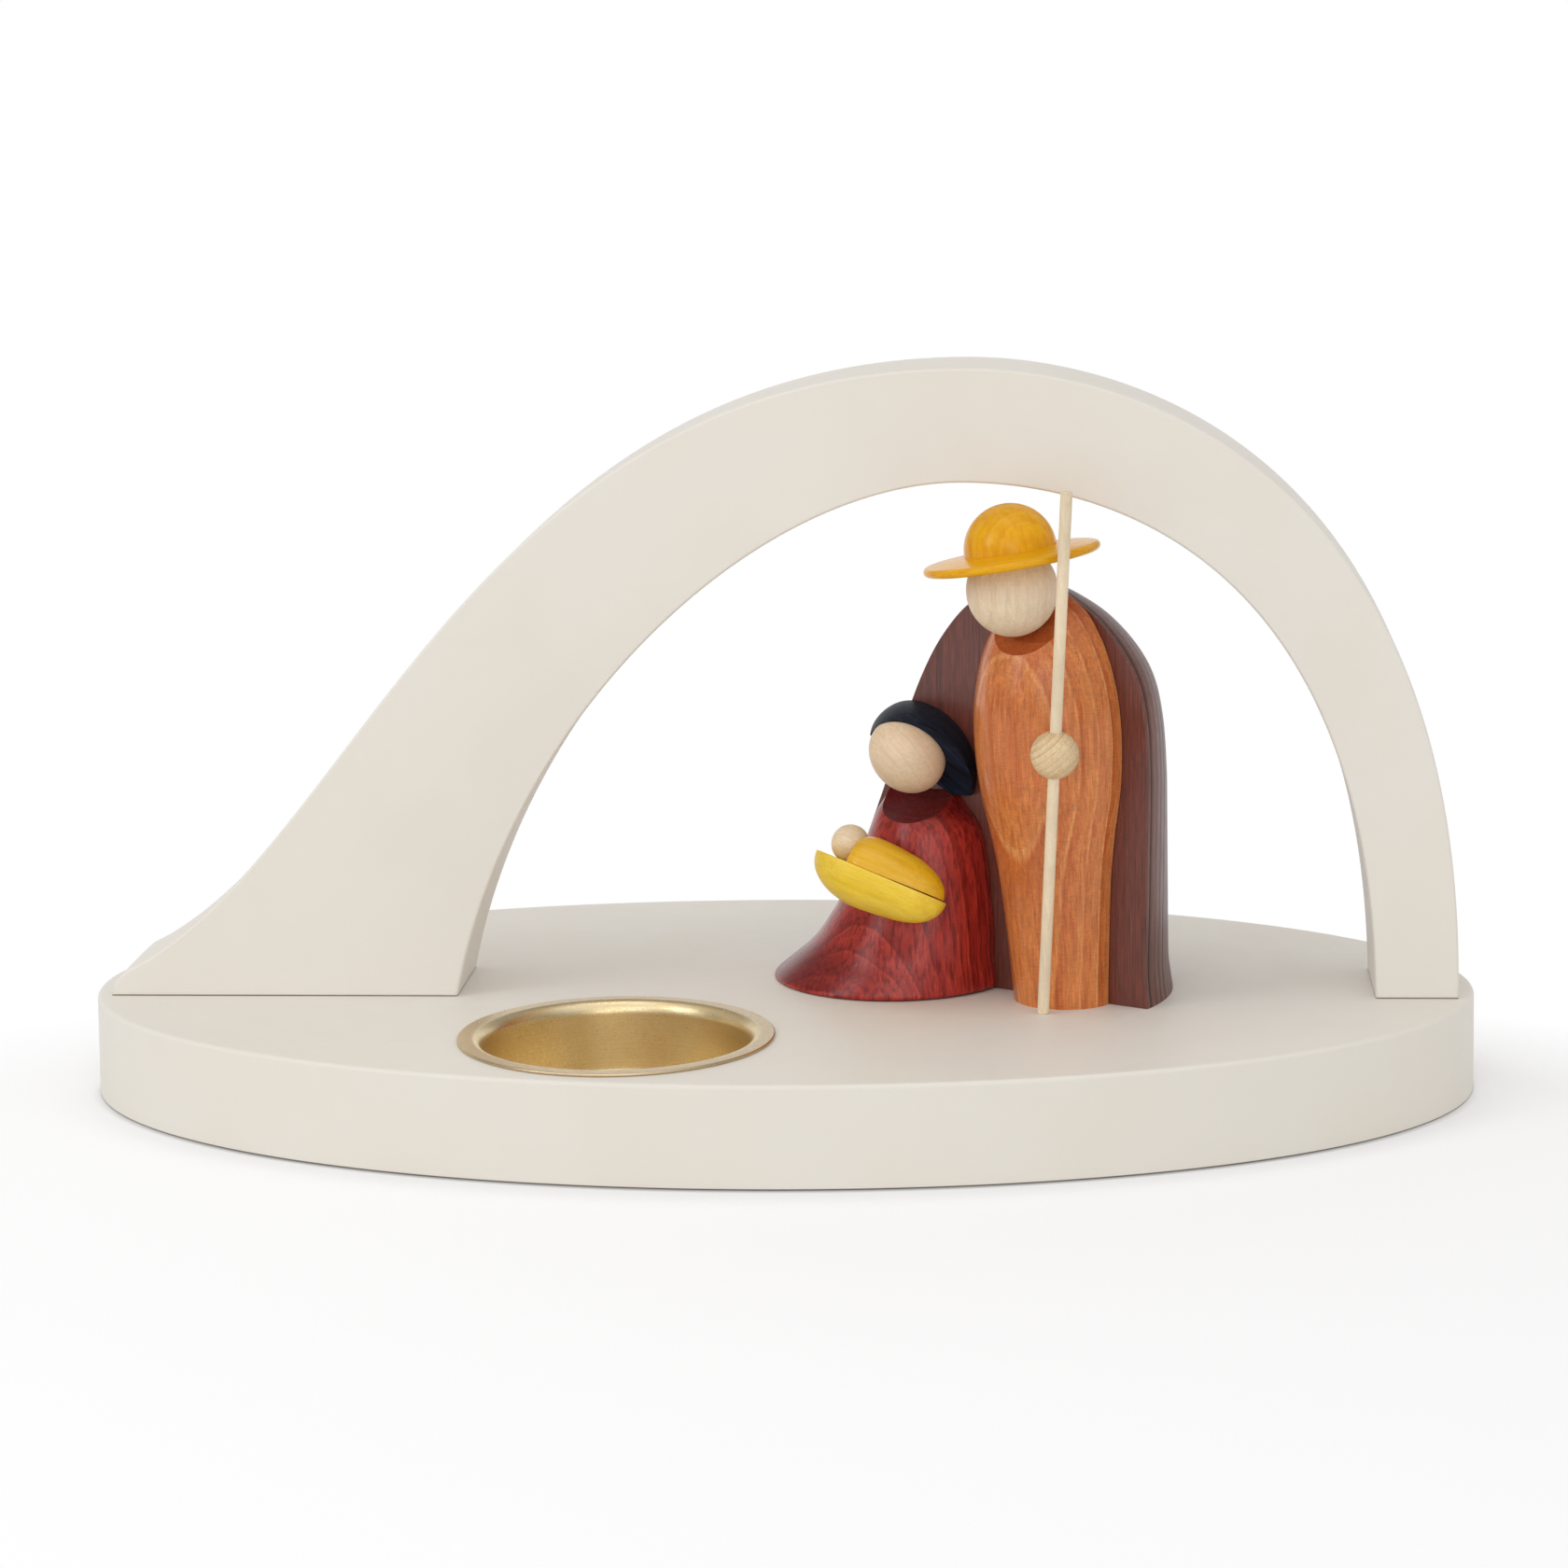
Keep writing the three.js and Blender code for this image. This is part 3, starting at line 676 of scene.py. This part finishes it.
def fine_grain(g, place, fibre, ray):
    """Threads along the grain, and the brightness that they, the rays across them and soft clouds leave."""
    threads = g.noise(g.stretched(place, 4.2, 4.2, 0.2), detail=3, roughness=0.65)
    rays = g.noise(g.stretched(place, 0.9, 0.9, 4.5), roughness=0.6)
    clouds = g.noise(place, scale=0.09)
    shade = g.remap(threads, 0.25, 0.75, 1 - fibre, 1 + fibre)
    shade = g.math("MULTIPLY", shade, g.remap(rays, 0.3, 0.7, 1 - ray, 1 + ray))
    shade = g.math("MULTIPLY", shade, g.remap(clouds, 0.3, 0.7, to_low=0.94, to_high=1.06))
    return threads, shade


def wood(
    name, tone, late, deep,
    grain="Z", pith=(0, 60), pitch=2.0, phase=0.0, spacing=1.0, wander=2.0,
    line=0.5, band=0.4, band_from=0.4, groove=0.0, streak=0.3, streak_width=1.1,
    fibre=0.14, ray=0.05, end=0.15, gloss=0.34, specular=0.5,
):
    """Turned wood, stained or bare, cut from a log whose pith lies beside the piece.

    The growth rings are cylinders about the pith, so each surface shows the figure that its shape cuts from them.
    Pitch, wander and streak_width are millimetres, and spacing says how unequal the years are. From band_from on, a
    year darkens to a band and then ends in a thin light line. Line, band, groove, streak, fibre, ray and end are
    strengths: groove of the gloss that the dark bands lose, and end of the deeper stain on end grain.
    """
    g = Finish(name, IOR=1.5, Specular_IOR_Level=specular)
    place = g.millimetres(grain)
    years = years_from_pith(g, place, pith, pitch, phase, spacing, wander)
    dark, light = marks_of_year(g, years, band_from)
    light = g.math("MULTIPLY", light, line)
    colour = g.mix(g.math("MULTIPLY", dark, band), linear(tone), linear(deep))
    colour = g.mix(light, colour, linear(late))
    streaks = g.noise(g.stretched(place, 1 / streak_width, 1 / streak_width, 0.007), detail=3)
    colour = g.mix(g.remap(streaks, 0.42, 0.68, to_low=0, to_high=streak), colour, linear(deep))
    facing = g.math("ABSOLUTE", g.parts(g.coordinates("Normal"))["XYZ".index(grain)])
    colour = g.mix(g.remap(facing, 0.3, 0.85, to_low=0, to_high=end), colour, linear(deep))
    threads, shade = fine_grain(g, place, fibre, ray)
    grey = g.node("CombineColor", {0: shade, 1: shade, 2: shade}).outputs[0]
    g.wire("Base Color", g.mix(1.0, colour, grey, "MULTIPLY"))
    g.wire("Roughness", g.remap(threads, 0.25, 0.75, gloss + 0.06, gloss - 0.05))
    if groove:
        g.wire("Specular IOR Level", g.math("MULTIPLY_ADD", dark, -groove * specular, specular))
    raised_line = g.math("MULTIPLY", light, 0.6)
    g.bump(g.math("ADD", threads, raised_line), distance=0.014, strength=0.5)
    return g.material


def bare_wood(name, pith, grain="Z", tone="e6d3b8"):
    return wood(
        name, tone, "ecdcc3", "d3b793", grain=grain, pith=pith, pitch=1.7, line=0.3, band=0.45, streak=0.3,
        streak_width=0.9, fibre=0.085, ray=0.025, end=0.1, gloss=0.48,
    )


def brass(name):
    """Satin spun metal: fine rings round the cup's axis under a soft etched grain, and painted light: a greyer
    flange, darker than the brighter inside.
    """
    g = Finish(name, Metallic=1.0)
    place = g.millimetres("Z")
    parts = g.parts(place)
    radius = g.hypotenuse(parts[0], parts[1])
    spun = g.noise_along(g.math("ADD", radius, parts[2]), scale=5.0, detail=3.0)
    grain = g.noise(place, scale=5.0, roughness=0.6)
    clouds = g.noise(place, scale=0.15)
    colour = g.mix(g.remap(clouds, 0.35, 0.65), linear("f0dcae"), linear("f3e2ba"))
    # Painted light: the flange is a greyer, darker brass than the inside, so that the inside looks lit by the light
    # falling into the cup.
    on_flange = g.remap(radius, CUP_MOUTH_R + 0.9, CUP_MOUTH_R + 2)
    colour = g.mix(on_flange, colour, linear("dcc8a6"))
    colour = g.mix(g.remap(spun, 0.3, 0.7, to_low=0, to_high=0.25), colour, linear("c8ad7e"))
    colour = g.mix(g.remap(grain, 0.4, 0.7, to_low=0, to_high=0.3), colour, linear("c4a878"))
    g.wire("Base Color", colour)
    g.wire("Roughness", g.remap(grain, 0.3, 0.7, to_low=0.26, to_high=0.42))
    etched = g.math("MULTIPLY", grain, 1.2)
    g.bump(g.math("ADD", spun, etched), distance=0.014, strength=0.6)
    return g.material


# Base, arch and cup

def ellipse(inwards, height, steps=240):
    ring = []
    for i in range(steps):
        a = 2 * math.pi * i / steps
        normal = Vector((BASE_HALF_Y * math.cos(a), BASE_HALF_X * math.sin(a))).normalized()
        x = BASE_HALF_X * math.cos(a) - normal.x * inwards
        y = BASE_HALF_Y * math.sin(a) - normal.y * inwards
        ring.append((x, y, height))
    return ring


def dowel_holes():
    """A cutter round every hidden dowel, a little wider and longer than it."""
    holes = []
    for node in sorted(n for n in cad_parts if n.startswith("dowel_")):
        low, high = (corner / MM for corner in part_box(node))
        middle = (low + high) / 2
        radius = (high.x - low.x) / 2 + DOWEL_CLEARANCE
        holes.append(post(radius, middle.x, middle.y, low.z - DOWEL_CLEARANCE, high.z + DOWEL_CLEARANCE))
    return holes


def make_base():
    rings = [ellipse(inwards, depth) for inwards, depth in rounding(BASE_FOOT_EDGE)]
    rings += [ellipse(inwards, BASE_T - depth) for inwards, depth in reversed(rounding(BASE_EDGE))]
    board = loft("base_board", rings)
    bore_r = CUP_MOUTH_R + CUP_LIP[0] + BORE_PLAY
    bore = post(bore_r, *CUP_AT, BASE_T - CUP_DEPTH - BORE_BELOW_CUP, BASE_T + BORE_CUT_ABOVE, steps=120)
    carve(board, bore, *dowel_holes())
    finish(board, "base_plate", lacquer("base_lacquer", foot=0), crease=40)


def arch_outline():
    """The arch seen from the front as (x, height), clockwise from the left tip."""
    tip = Vector((TIP_X, 0))
    rise = [tip + Vector(step) for step in TIP_RISE]
    inner_start = Vector((INNER_START_X, 0))
    outer_foot = Vector((OUTER_FOOT_X, 0))
    inner_foot = Vector((INNER_FOOT_X, 0))
    outline = [tip, *rise[:-1]]
    outline += bezier(
        rise[-1], aimed(rise[-1], OUTER_START_ANGLE, OUTER_START_PULL),
        sideways(OUTER_APEX, -OUTER_APEX_PULL[0]), OUTER_APEX, steps=90,
    )
    outline += bezier(
        OUTER_APEX, sideways(OUTER_APEX, OUTER_APEX_PULL[1]),
        outer_foot + Vector(OUTER_FOOT_PULL), outer_foot, steps=80,
    )
    outline.append(outer_foot)
    outline += bezier(
        inner_foot, inner_foot + Vector(INNER_FOOT_PULL),
        sideways(INNER_APEX, INNER_APEX_PULL[1]), INNER_APEX, steps=70,
    )
    outline += bezier(
        INNER_APEX, sideways(INNER_APEX, -INNER_APEX_PULL[0]),
        aimed(inner_start, INNER_START_ANGLE, INNER_START_PULL), inner_start, steps=70,
    )
    outline.append(inner_start)
    return outline


def make_arch():
    outline = arch_outline()
    edge = rounding(ARCH_EDGE)
    levels = [(inwards, ARCH_FRONT_Y + depth) for inwards, depth in edge]
    levels += [(inwards, ARCH_FRONT_Y + ARCH_T - depth) for inwards, depth in reversed(edge)]
    rings = [[(p.x, y, BASE_T + p.y) for p in inset(outline, inwards)] for inwards, y in levels]
    slab = loft("arch_slab", rings)
    carve(slab, *dowel_holes())
    finish(slab, "arch", lacquer("arch_lacquer", foot=BASE_T), crease=40)


def make_cup():
    """The insert's sheet, followed from below its floor up the outside, round the flange and down the inside."""
    lip = (CUP_MOUTH_R + CUP_LIP[0], CUP_SHEET - CUP_LIP[1])
    lip_below = (CUP_LIP[0] - CUP_SHEET, CUP_LIP[1] - CUP_SHEET)
    corner = (CUP_FLOOR_R - CUP_CORNER_R, -CUP_DEPTH + CUP_SHEET + CUP_CORNER_R)
    rim = (CUP_FLANGE_R - CUP_SHEET / 2, CUP_SHEET / 2)
    profile = [Vector((0, -CUP_DEPTH))]
    profile += arc(corner, CUP_CORNER_R + CUP_SHEET, start=-90, end=0, steps=10)
    profile += oval_arc(lip, lip_below, start=180, end=90, steps=10)
    profile += arc(rim, CUP_SHEET / 2, start=-90, end=90, steps=8)
    profile += oval_arc(lip, CUP_LIP, start=90, end=180, steps=18)
    profile += arc(corner, CUP_CORNER_R, start=0, end=-90, steps=10)
    profile.append(Vector((0, -CUP_DEPTH + CUP_SHEET)))
    shell = turned("cup_shell", profile, shifted(*CUP_AT, BASE_T), steps=144)
    finish(shell, "tealight_cup", brass("cup_brass"), crease=50, body="cup")


# Man and cloak

def make_cloak():
    back = half_turned("cloak_back", smooth_line(CLOAK_PROFILE, steps=90), PLANE, 1, CLOAK_EDGE, CLOAK_AXIS)
    carve(back, *dowel_holes())
    finish(back, "cloak", wood(
        "cloak_stain", "6e3327", "8c5a4d", "180806", pith=(-8, 600), pitch=2.0, phase=0.14, spacing=0.0,
        wander=0.4, line=0.4, band=1.0, band_from=0.3, groove=0.9, streak=0.42, streak_width=0.4, fibre=0.42,
        gloss=0.36, specular=0.75,
    ))


def man_scoop():
    """A shallow ball cutter that passes just behind and below the head."""
    head = (PLANE.inverted() @ ON_BASE @ shifted(*MAN_HEAD_AT)).translation / MM
    centre = head + MAN_SCOOP_WAY.normalized() * (MAN_SCOOP_R - MAN_HEAD_R - CONTACT)
    return egg("cutter", (MAN_SCOOP_R,) * 3, PLANE @ shifted(*centre), steps=SCOOP_STEPS)


def man_head_egg(name, grow):
    radii = (MAN_HEAD_R + grow, MAN_HEAD_R + grow, MAN_HEAD_DROP + grow)
    return egg(name, radii, ON_BASE @ shifted(*MAN_HEAD_AT))


def make_man():
    lean = turned_by(-MAN_LEAN, "Y")
    figure = half_turned("man_figure", smooth_line(MAN_PROFILE, steps=90), PLANE @ lean, -1, FIGURE_EDGE)
    slice_off(figure, ON_BASE, (0, 0, 0), (0, 0, -1))
    carve(figure, man_scoop(), man_head_egg("cutter", CONTACT))
    finish(figure, "man_body", wood(
        "man_stain", "d27f45", "e8ae72", "a03a0d", pith=(7.8, 49), pitch=2.6, phase=0.0, spacing=0.0, wander=0.7,
        line=0.55, band=0.55, streak=0.38, streak_width=0.7, fibre=0.22, ray=0.09, end=0.6, gloss=0.24, specular=0.4,
    ))
    head = man_head_egg("man_face", 0)
    slice_off(head, HAT, (0, 0, 0), (0, 0, 1))
    finish(head, "man_head", bare_wood("man_face_wood", pith=(38, 6)))


def make_hat():
    edge = BRIM_EDGE_T / 2
    profile = [Vector((0, 0)), *arc((BRIM_R - edge, edge), edge, start=-90, end=90, steps=12)]
    profile += [Vector((CROWN_R + BRIM_SEAT_PLAY, BRIM_SEAT_T)), Vector((0, BRIM_SEAT_T))]
    brim = turned("hat_brim_turned", profile, HAT, steps=128)
    look = dict(
        tone="e4a705", late="f0bc20", deep="cc8200", pitch=1.4, line=0.3, band=0.3, streak=0.4,
        streak_width=1.1, fibre=0.08, ray=0.02, gloss=0.22, specular=0.28,
    )
    finish(brim, "hat_brim", wood("brim_stain", grain="X", pith=(4, 40), **look))
    dome = [Vector((0, 0)), *arc((0, 0), CROWN_R, start=0, end=89, steps=28), Vector((0, CROWN_R))]
    crown = turned("hat_crown_turned", dome, HAT @ shifted(0, 0, BRIM_SEAT_T))
    finish(crown, "hat_crown", wood("crown_stain", pith=(-14, 26), **look))


def staff_ring(radius, height, steps=28):
    """A level section of the leaning staff."""
    along = (STAFF_TOP - STAFF_FOOT).normalized()
    side = along.cross(Vector((0, 1, 0))).normalized()
    other = along.cross(side)
    ring = []
    for i in range(steps):
        a = 2 * math.pi * i / steps
        start = STAFF_FOOT + (side * math.cos(a) + other * math.sin(a)) * radius
        ring.append(tuple(start + along * ((height - start.z) / along.z)))
    return ring


def make_staff():
    top = STAFF_TOP.z
    rings = [staff_ring(STAFF_R - STAFF_EDGE, 0), staff_ring(STAFF_R, STAFF_EDGE)]
    rings += [staff_ring(STAFF_R, top - STAFF_EDGE), staff_ring(STAFF_R - STAFF_EDGE, top)]
    rod = loft("staff_rod", rings, ON_BASE)
    finish(rod, "staff", wood(
        "staff_wood", "e9d7ba", "efe0c6", "dfc8a5", pith=(20, 60), pitch=1.1, line=0.3, band=0.3, streak=0.3,
        streak_width=0.5, fibre=0.05, ray=0.02, gloss=0.5,
    ))


def make_hand():
    hand_at = STAFF_FOOT.lerp(STAFF_TOP, HAND_Z / STAFF_TOP.z)
    hand = egg("hand_bead", (HAND_R,) * 3, ON_BASE @ shifted(*hand_at), steps=64)
    ends = (HAND_Z - HAND_CHANNEL_HALF, HAND_Z + HAND_CHANNEL_HALF)
    carve(hand, loft("cutter", [staff_ring(STAFF_R + CONTACT, height) for height in ends], ON_BASE))
    finish(hand, "hand_ball", wood(
        "hand_wood", "dcc39b", "e8d3ae", "c09b6c", grain="Y", pith=(28, -24), pitch=0.95, wander=0.8, line=0.4,
        band=0.75, streak=0.2, fibre=0.1, gloss=0.5, end=0.0,
    ))


# Woman

def robe_tool():
    """The whole turned robe as a cutter for what rests against it. Its top point stays on the axis."""
    profile = [Vector((r + CONTACT, z)) for r, z in smooth_line(ROBE_PROFILE, steps=80)]
    profile[-1].x = 0
    return turned("cutter", profile, PLANE, steps=112, axis=ROBE_AXIS)


def woman_head_egg(name, grow):
    radii = (WOMAN_HEAD_LONG + grow, WOMAN_HEAD_R + grow, WOMAN_HEAD_R + grow)
    return egg(name, radii, WOMAN_HEAD)


def make_woman():
    robe = half_turned("woman_figure", smooth_line(ROBE_PROFILE, steps=90), PLANE, -1, FIGURE_EDGE, ROBE_AXIS)
    neck = egg("cutter", (WOMAN_SCOOP_R,) * 3, PLANE @ shifted(*WOMAN_SCOOP_AT), steps=SCOOP_STEPS)
    carve(robe, neck, woman_head_egg("cutter", CONTACT))
    finish(robe, "woman_robe", wood(
        "robe_stain", "b0352b", "cf4c3c", "4c050b", pith=(-25, 90), pitch=1.9, spacing=0.9, wander=2.2, line=0.4,
        band=0.5, streak=0.6, streak_width=0.6, fibre=0.26, end=0.8, gloss=0.24, specular=0.35,
    ))
    face_wood = bare_wood("woman_face_wood", pith=(20, 26), grain="X", tone="e4ccac")
    finish(woman_head_egg("woman_face", 0), "woman_head", face_wood)


def make_headscarf():
    hood = egg("headscarf_hood", HOOD_SIZE, HOOD, steps=112)
    slice_off(hood, PLANE, (0, 0, 0), (0, 1, 0))
    slice_off(hood, PLANE, (0, 0, HOOD_BOTTOM), (0, 0, -1))
    facing = Vector(HOOD_FACING).normalized()
    slice_off(hood, PLANE, Vector(WOMAN_HEAD_AT) + facing * HOOD_REACH, facing)
    below = -Vector((math.sin(HOOD_TURN), 0, math.cos(HOOD_TURN)))
    slice_off(hood, PLANE, Vector(WOMAN_HEAD_AT) + below * HOOD_TRIM, below)
    carve(hood, woman_head_egg("cutter", CONTACT), robe_tool())
    finish(hood, "headscarf", wood(
        "scarf_stain", "1b2435", "36465f", "0b0d13", grain="X", pith=(4, 30), pitch=1.3, line=0.4, band=0.6,
        streak=0.75, streak_width=0.8, fibre=0.3, gloss=0.45, specular=0.12,
    ))


# Child

def child_head_ball(name, grow):
    return egg(name, (CHILD_HEAD_R + grow,) * 3, CRADLE @ shifted(*CHILD_HEAD_AT), steps=56)


def make_cradle():
    trough = half_turned("cradle_trough", smooth_line(CRADLE_PROFILE, steps=70), CRADLE @ LYING, -1, CHILD_EDGE)
    carve(trough, child_head_ball("cutter", CONTACT), robe_tool())
    finish(trough, "cradle", wood(
        "cradle_stain", "f2cf38", "f8de66", "deb024", pith=(6, 30), pitch=1.5, line=0.3, band=0.35, streak=0.3,
        streak_width=0.9, fibre=0.07, ray=0.03, gloss=0.33,
    ))


def make_child():
    bundle = half_turned("child_bundle", smooth_line(BUNDLE_PROFILE, steps=60), CRADLE @ LYING, 1, CHILD_EDGE)
    tilt = Vector((-math.sin(BUNDLE_LIFT), 0, math.cos(BUNDLE_LIFT)))
    slice_off(bundle, CRADLE, (BUNDLE_LIFT_FROM, 0, 0), -tilt)
    carve(bundle, child_head_ball("cutter", CONTACT), robe_tool())
    finish(bundle, "child_body", wood(
        "bundle_stain", "e8b418", "efc548", "d29410", pith=(-6, 30), pitch=1.5, line=0.3, band=0.35, streak=0.35,
        streak_width=0.9, fibre=0.08, ray=0.03, gloss=0.3,
    ))
    face_wood = bare_wood("child_face_wood", pith=(12, 20), grain="X", tone="e8d2b0")
    finish(child_head_ball("child_face", 0), "child_head", face_wood)


def dress_dowels():
    material = wood("dowel_beech", "cda77a", "b98d5c", "bf9463", pitch=1.6, fibre=0.18, gloss=0.65)
    for name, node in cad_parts.items():
        if name.startswith("dowel_"):
            node.data.materials.clear()
            node.data.materials.append(material)


# Studio

def make_world():
    """White all round for the camera. Mirrored rays see it low behind the part and from a ceiling in front of it."""
    world = bpy.data.worlds.new("studio")
    bpy.context.scene.world = world
    world.use_nodes = True
    g = Graph(world.node_tree)
    lit = g.tree.nodes["Background"]
    lit.inputs["Color"].default_value = (*WORLD_TINT, 1)
    lit.inputs["Strength"].default_value = WORLD_STRENGTH
    way = g.parts(g.coordinates("Generated"))
    behind = g.rising(g.math("MULTIPLY_ADD", way["Z"], BEHIND_SLOPE, way["Y"]), *BEHIND, ROOM_STRENGTH)
    above = g.rising(g.math("MULTIPLY_ADD", way["Y"], CEILING_SLOPE, way["Z"]), *CEILING, ROOM_STRENGTH)
    direct = g.node("LightPath", {}).outputs["Is Camera Ray"]
    room = g.node("Background", {"Color": (*WHITE, 1), "Strength": g.largest(direct, behind, above)})
    g.show("World Output", g.mixed(g.seen(), lit.outputs[0], room.outputs[0]))


def beyond_base(g, place):
    """How far a point of the floor lies outside the base's oval, in metres."""
    in_radii = g.stretched(place, 1 / (BASE_HALF_X * MM), 1 / (BASE_HALF_Y * MM), 0)
    distance = g.length(place)
    return g.math("SUBTRACT", distance, g.math("DIVIDE", distance, g.length(in_radii)))


def shaded_paper(g, beyond, y):
    """White paper with a painted shadow at the base's long sides: a thin dark line and a faint shade, where little
    light gets in.
    """
    line = g.rising(beyond, 0, CONTACT_LINE * MM, CONTACT_LINE_LIGHT)
    halo = g.rising(beyond, 0, CONTACT_HALO * MM, CONTACT_HALO_LIGHT)
    shade = g.math("SUBTRACT", 1.0, g.math("MULTIPLY", line, halo))
    none_below, full_above = (reach * MM for reach in CONTACT_FROM_SIDE)
    side = g.rising(g.math("ABSOLUTE", y), none_below, full_above, 0)
    # Painted shadow: the paper is mixed towards black by this amount near the base's long sides.
    return g.mixed(
        g.math("MULTIPLY", shade, side), g.plain("BsdfDiffuse", FLOOR_PAPER), g.plain("BsdfDiffuse", BLACK)
    )


def floor_material():
    """Paper that fades to white for rays that see it, and a plain matt surface for light that bounces off it."""
    material = bpy.data.materials.new("floor_white")
    material.use_nodes = True
    g = Graph(material.node_tree)
    g.tree.nodes.remove(g.tree.nodes["Principled BSDF"])
    place = g.coordinates("Object")
    y = g.parts(place)["Y"]
    beyond = beyond_base(g, place)
    away = g.math("MULTIPLY_ADD", y, FLOOR_FADE_BACKWARDS, beyond)
    fade = g.rising(away, FLOOR_FADE[0] * MM, FLOOR_FADE[1] * MM, 0)
    glow = g.node("Emission", {"Strength": FLOOR_GLOW}).outputs[0]
    near = g.node("AddShader", {0: shaded_paper(g, beyond, y), 1: glow}).outputs[0]
    shown = g.mixed(fade, near, g.plain("Emission", WHITE))
    g.show("Material Output", g.mixed(g.seen(), g.plain("BsdfDiffuse", FLOOR_BOUNCE), shown))
    return material


def make_floor():
    bm = bmesh.new()
    corners = ((-1, -1), (1, -1), (1, 1), (-1, 1))
    bm.faces.new([bm.verts.new(Vector((x * FLOOR_HALF, y * FLOOR_HALF, FLOOR_Z)) * MM) for x, y in corners])
    floor = as_piece("studio_floor", bm, Matrix.Identity(4))
    floor.data.materials.append(floor_material())


def make_lamp(name, place, aim, size, power):
    """A softbox that the camera doesn't see. Its power is in watts."""
    lamp = bpy.data.lights.new(name, "AREA")
    lamp.shape = "RECTANGLE"
    lamp.size, lamp.size_y = (side * MM for side in size)
    lamp.energy = power
    holder = bpy.data.objects.new(name, lamp)
    bpy.context.scene.collection.objects.link(holder)
    holder.location = Vector(place) * MM
    holder.rotation_euler = (Vector(aim) - Vector(place)).to_track_quat("-Z", "Y").to_euler()
    holder.visible_camera = False


def make_camera():
    data = bpy.data.cameras.new("camera")
    data.lens = CAMERA_LENS
    data.sensor_width = CAMERA_SENSOR
    data.shift_x, data.shift_y = CAMERA_SHIFT
    data.clip_start, data.clip_end = CAMERA_CLIP
    camera = bpy.data.objects.new("camera", data)
    bpy.context.scene.collection.objects.link(camera)
    camera.matrix_world = (
        shifted(*CAMERA_AT) @ turned_by(math.radians(CAMERA_YAW), "Z")
        @ turned_by(math.radians(90 - CAMERA_PITCH), "X") @ turned_by(math.radians(CAMERA_ROLL), "Z")
    )
    bpy.context.scene.camera = camera


make_camera()
make_world()
make_floor()
make_lamp("left_softbox", place=(-620, -420, 420), aim=(0, 0, 40), size=(300, 400), power=0.84)
make_lamp("front_softbox", place=(-60, -900, 420), aim=(0, 0, 50), size=(600, 300), power=0.62)
make_lamp("low_softbox", place=(250, -1000, 150), aim=(0, 0, 50), size=(400, 300), power=0.52)
make_lamp("top_softbox", place=(-60, -120, 800), aim=(0, 0, 0), size=(420, 300), power=0.3)

make_base()
make_arch()
make_cup()
make_cloak()
make_man()
make_hat()
make_staff()
make_hand()
make_woman()
make_headscarf()
make_cradle()
make_child()
dress_dowels()

bpy.context.scene.view_settings.view_transform = "Standard"
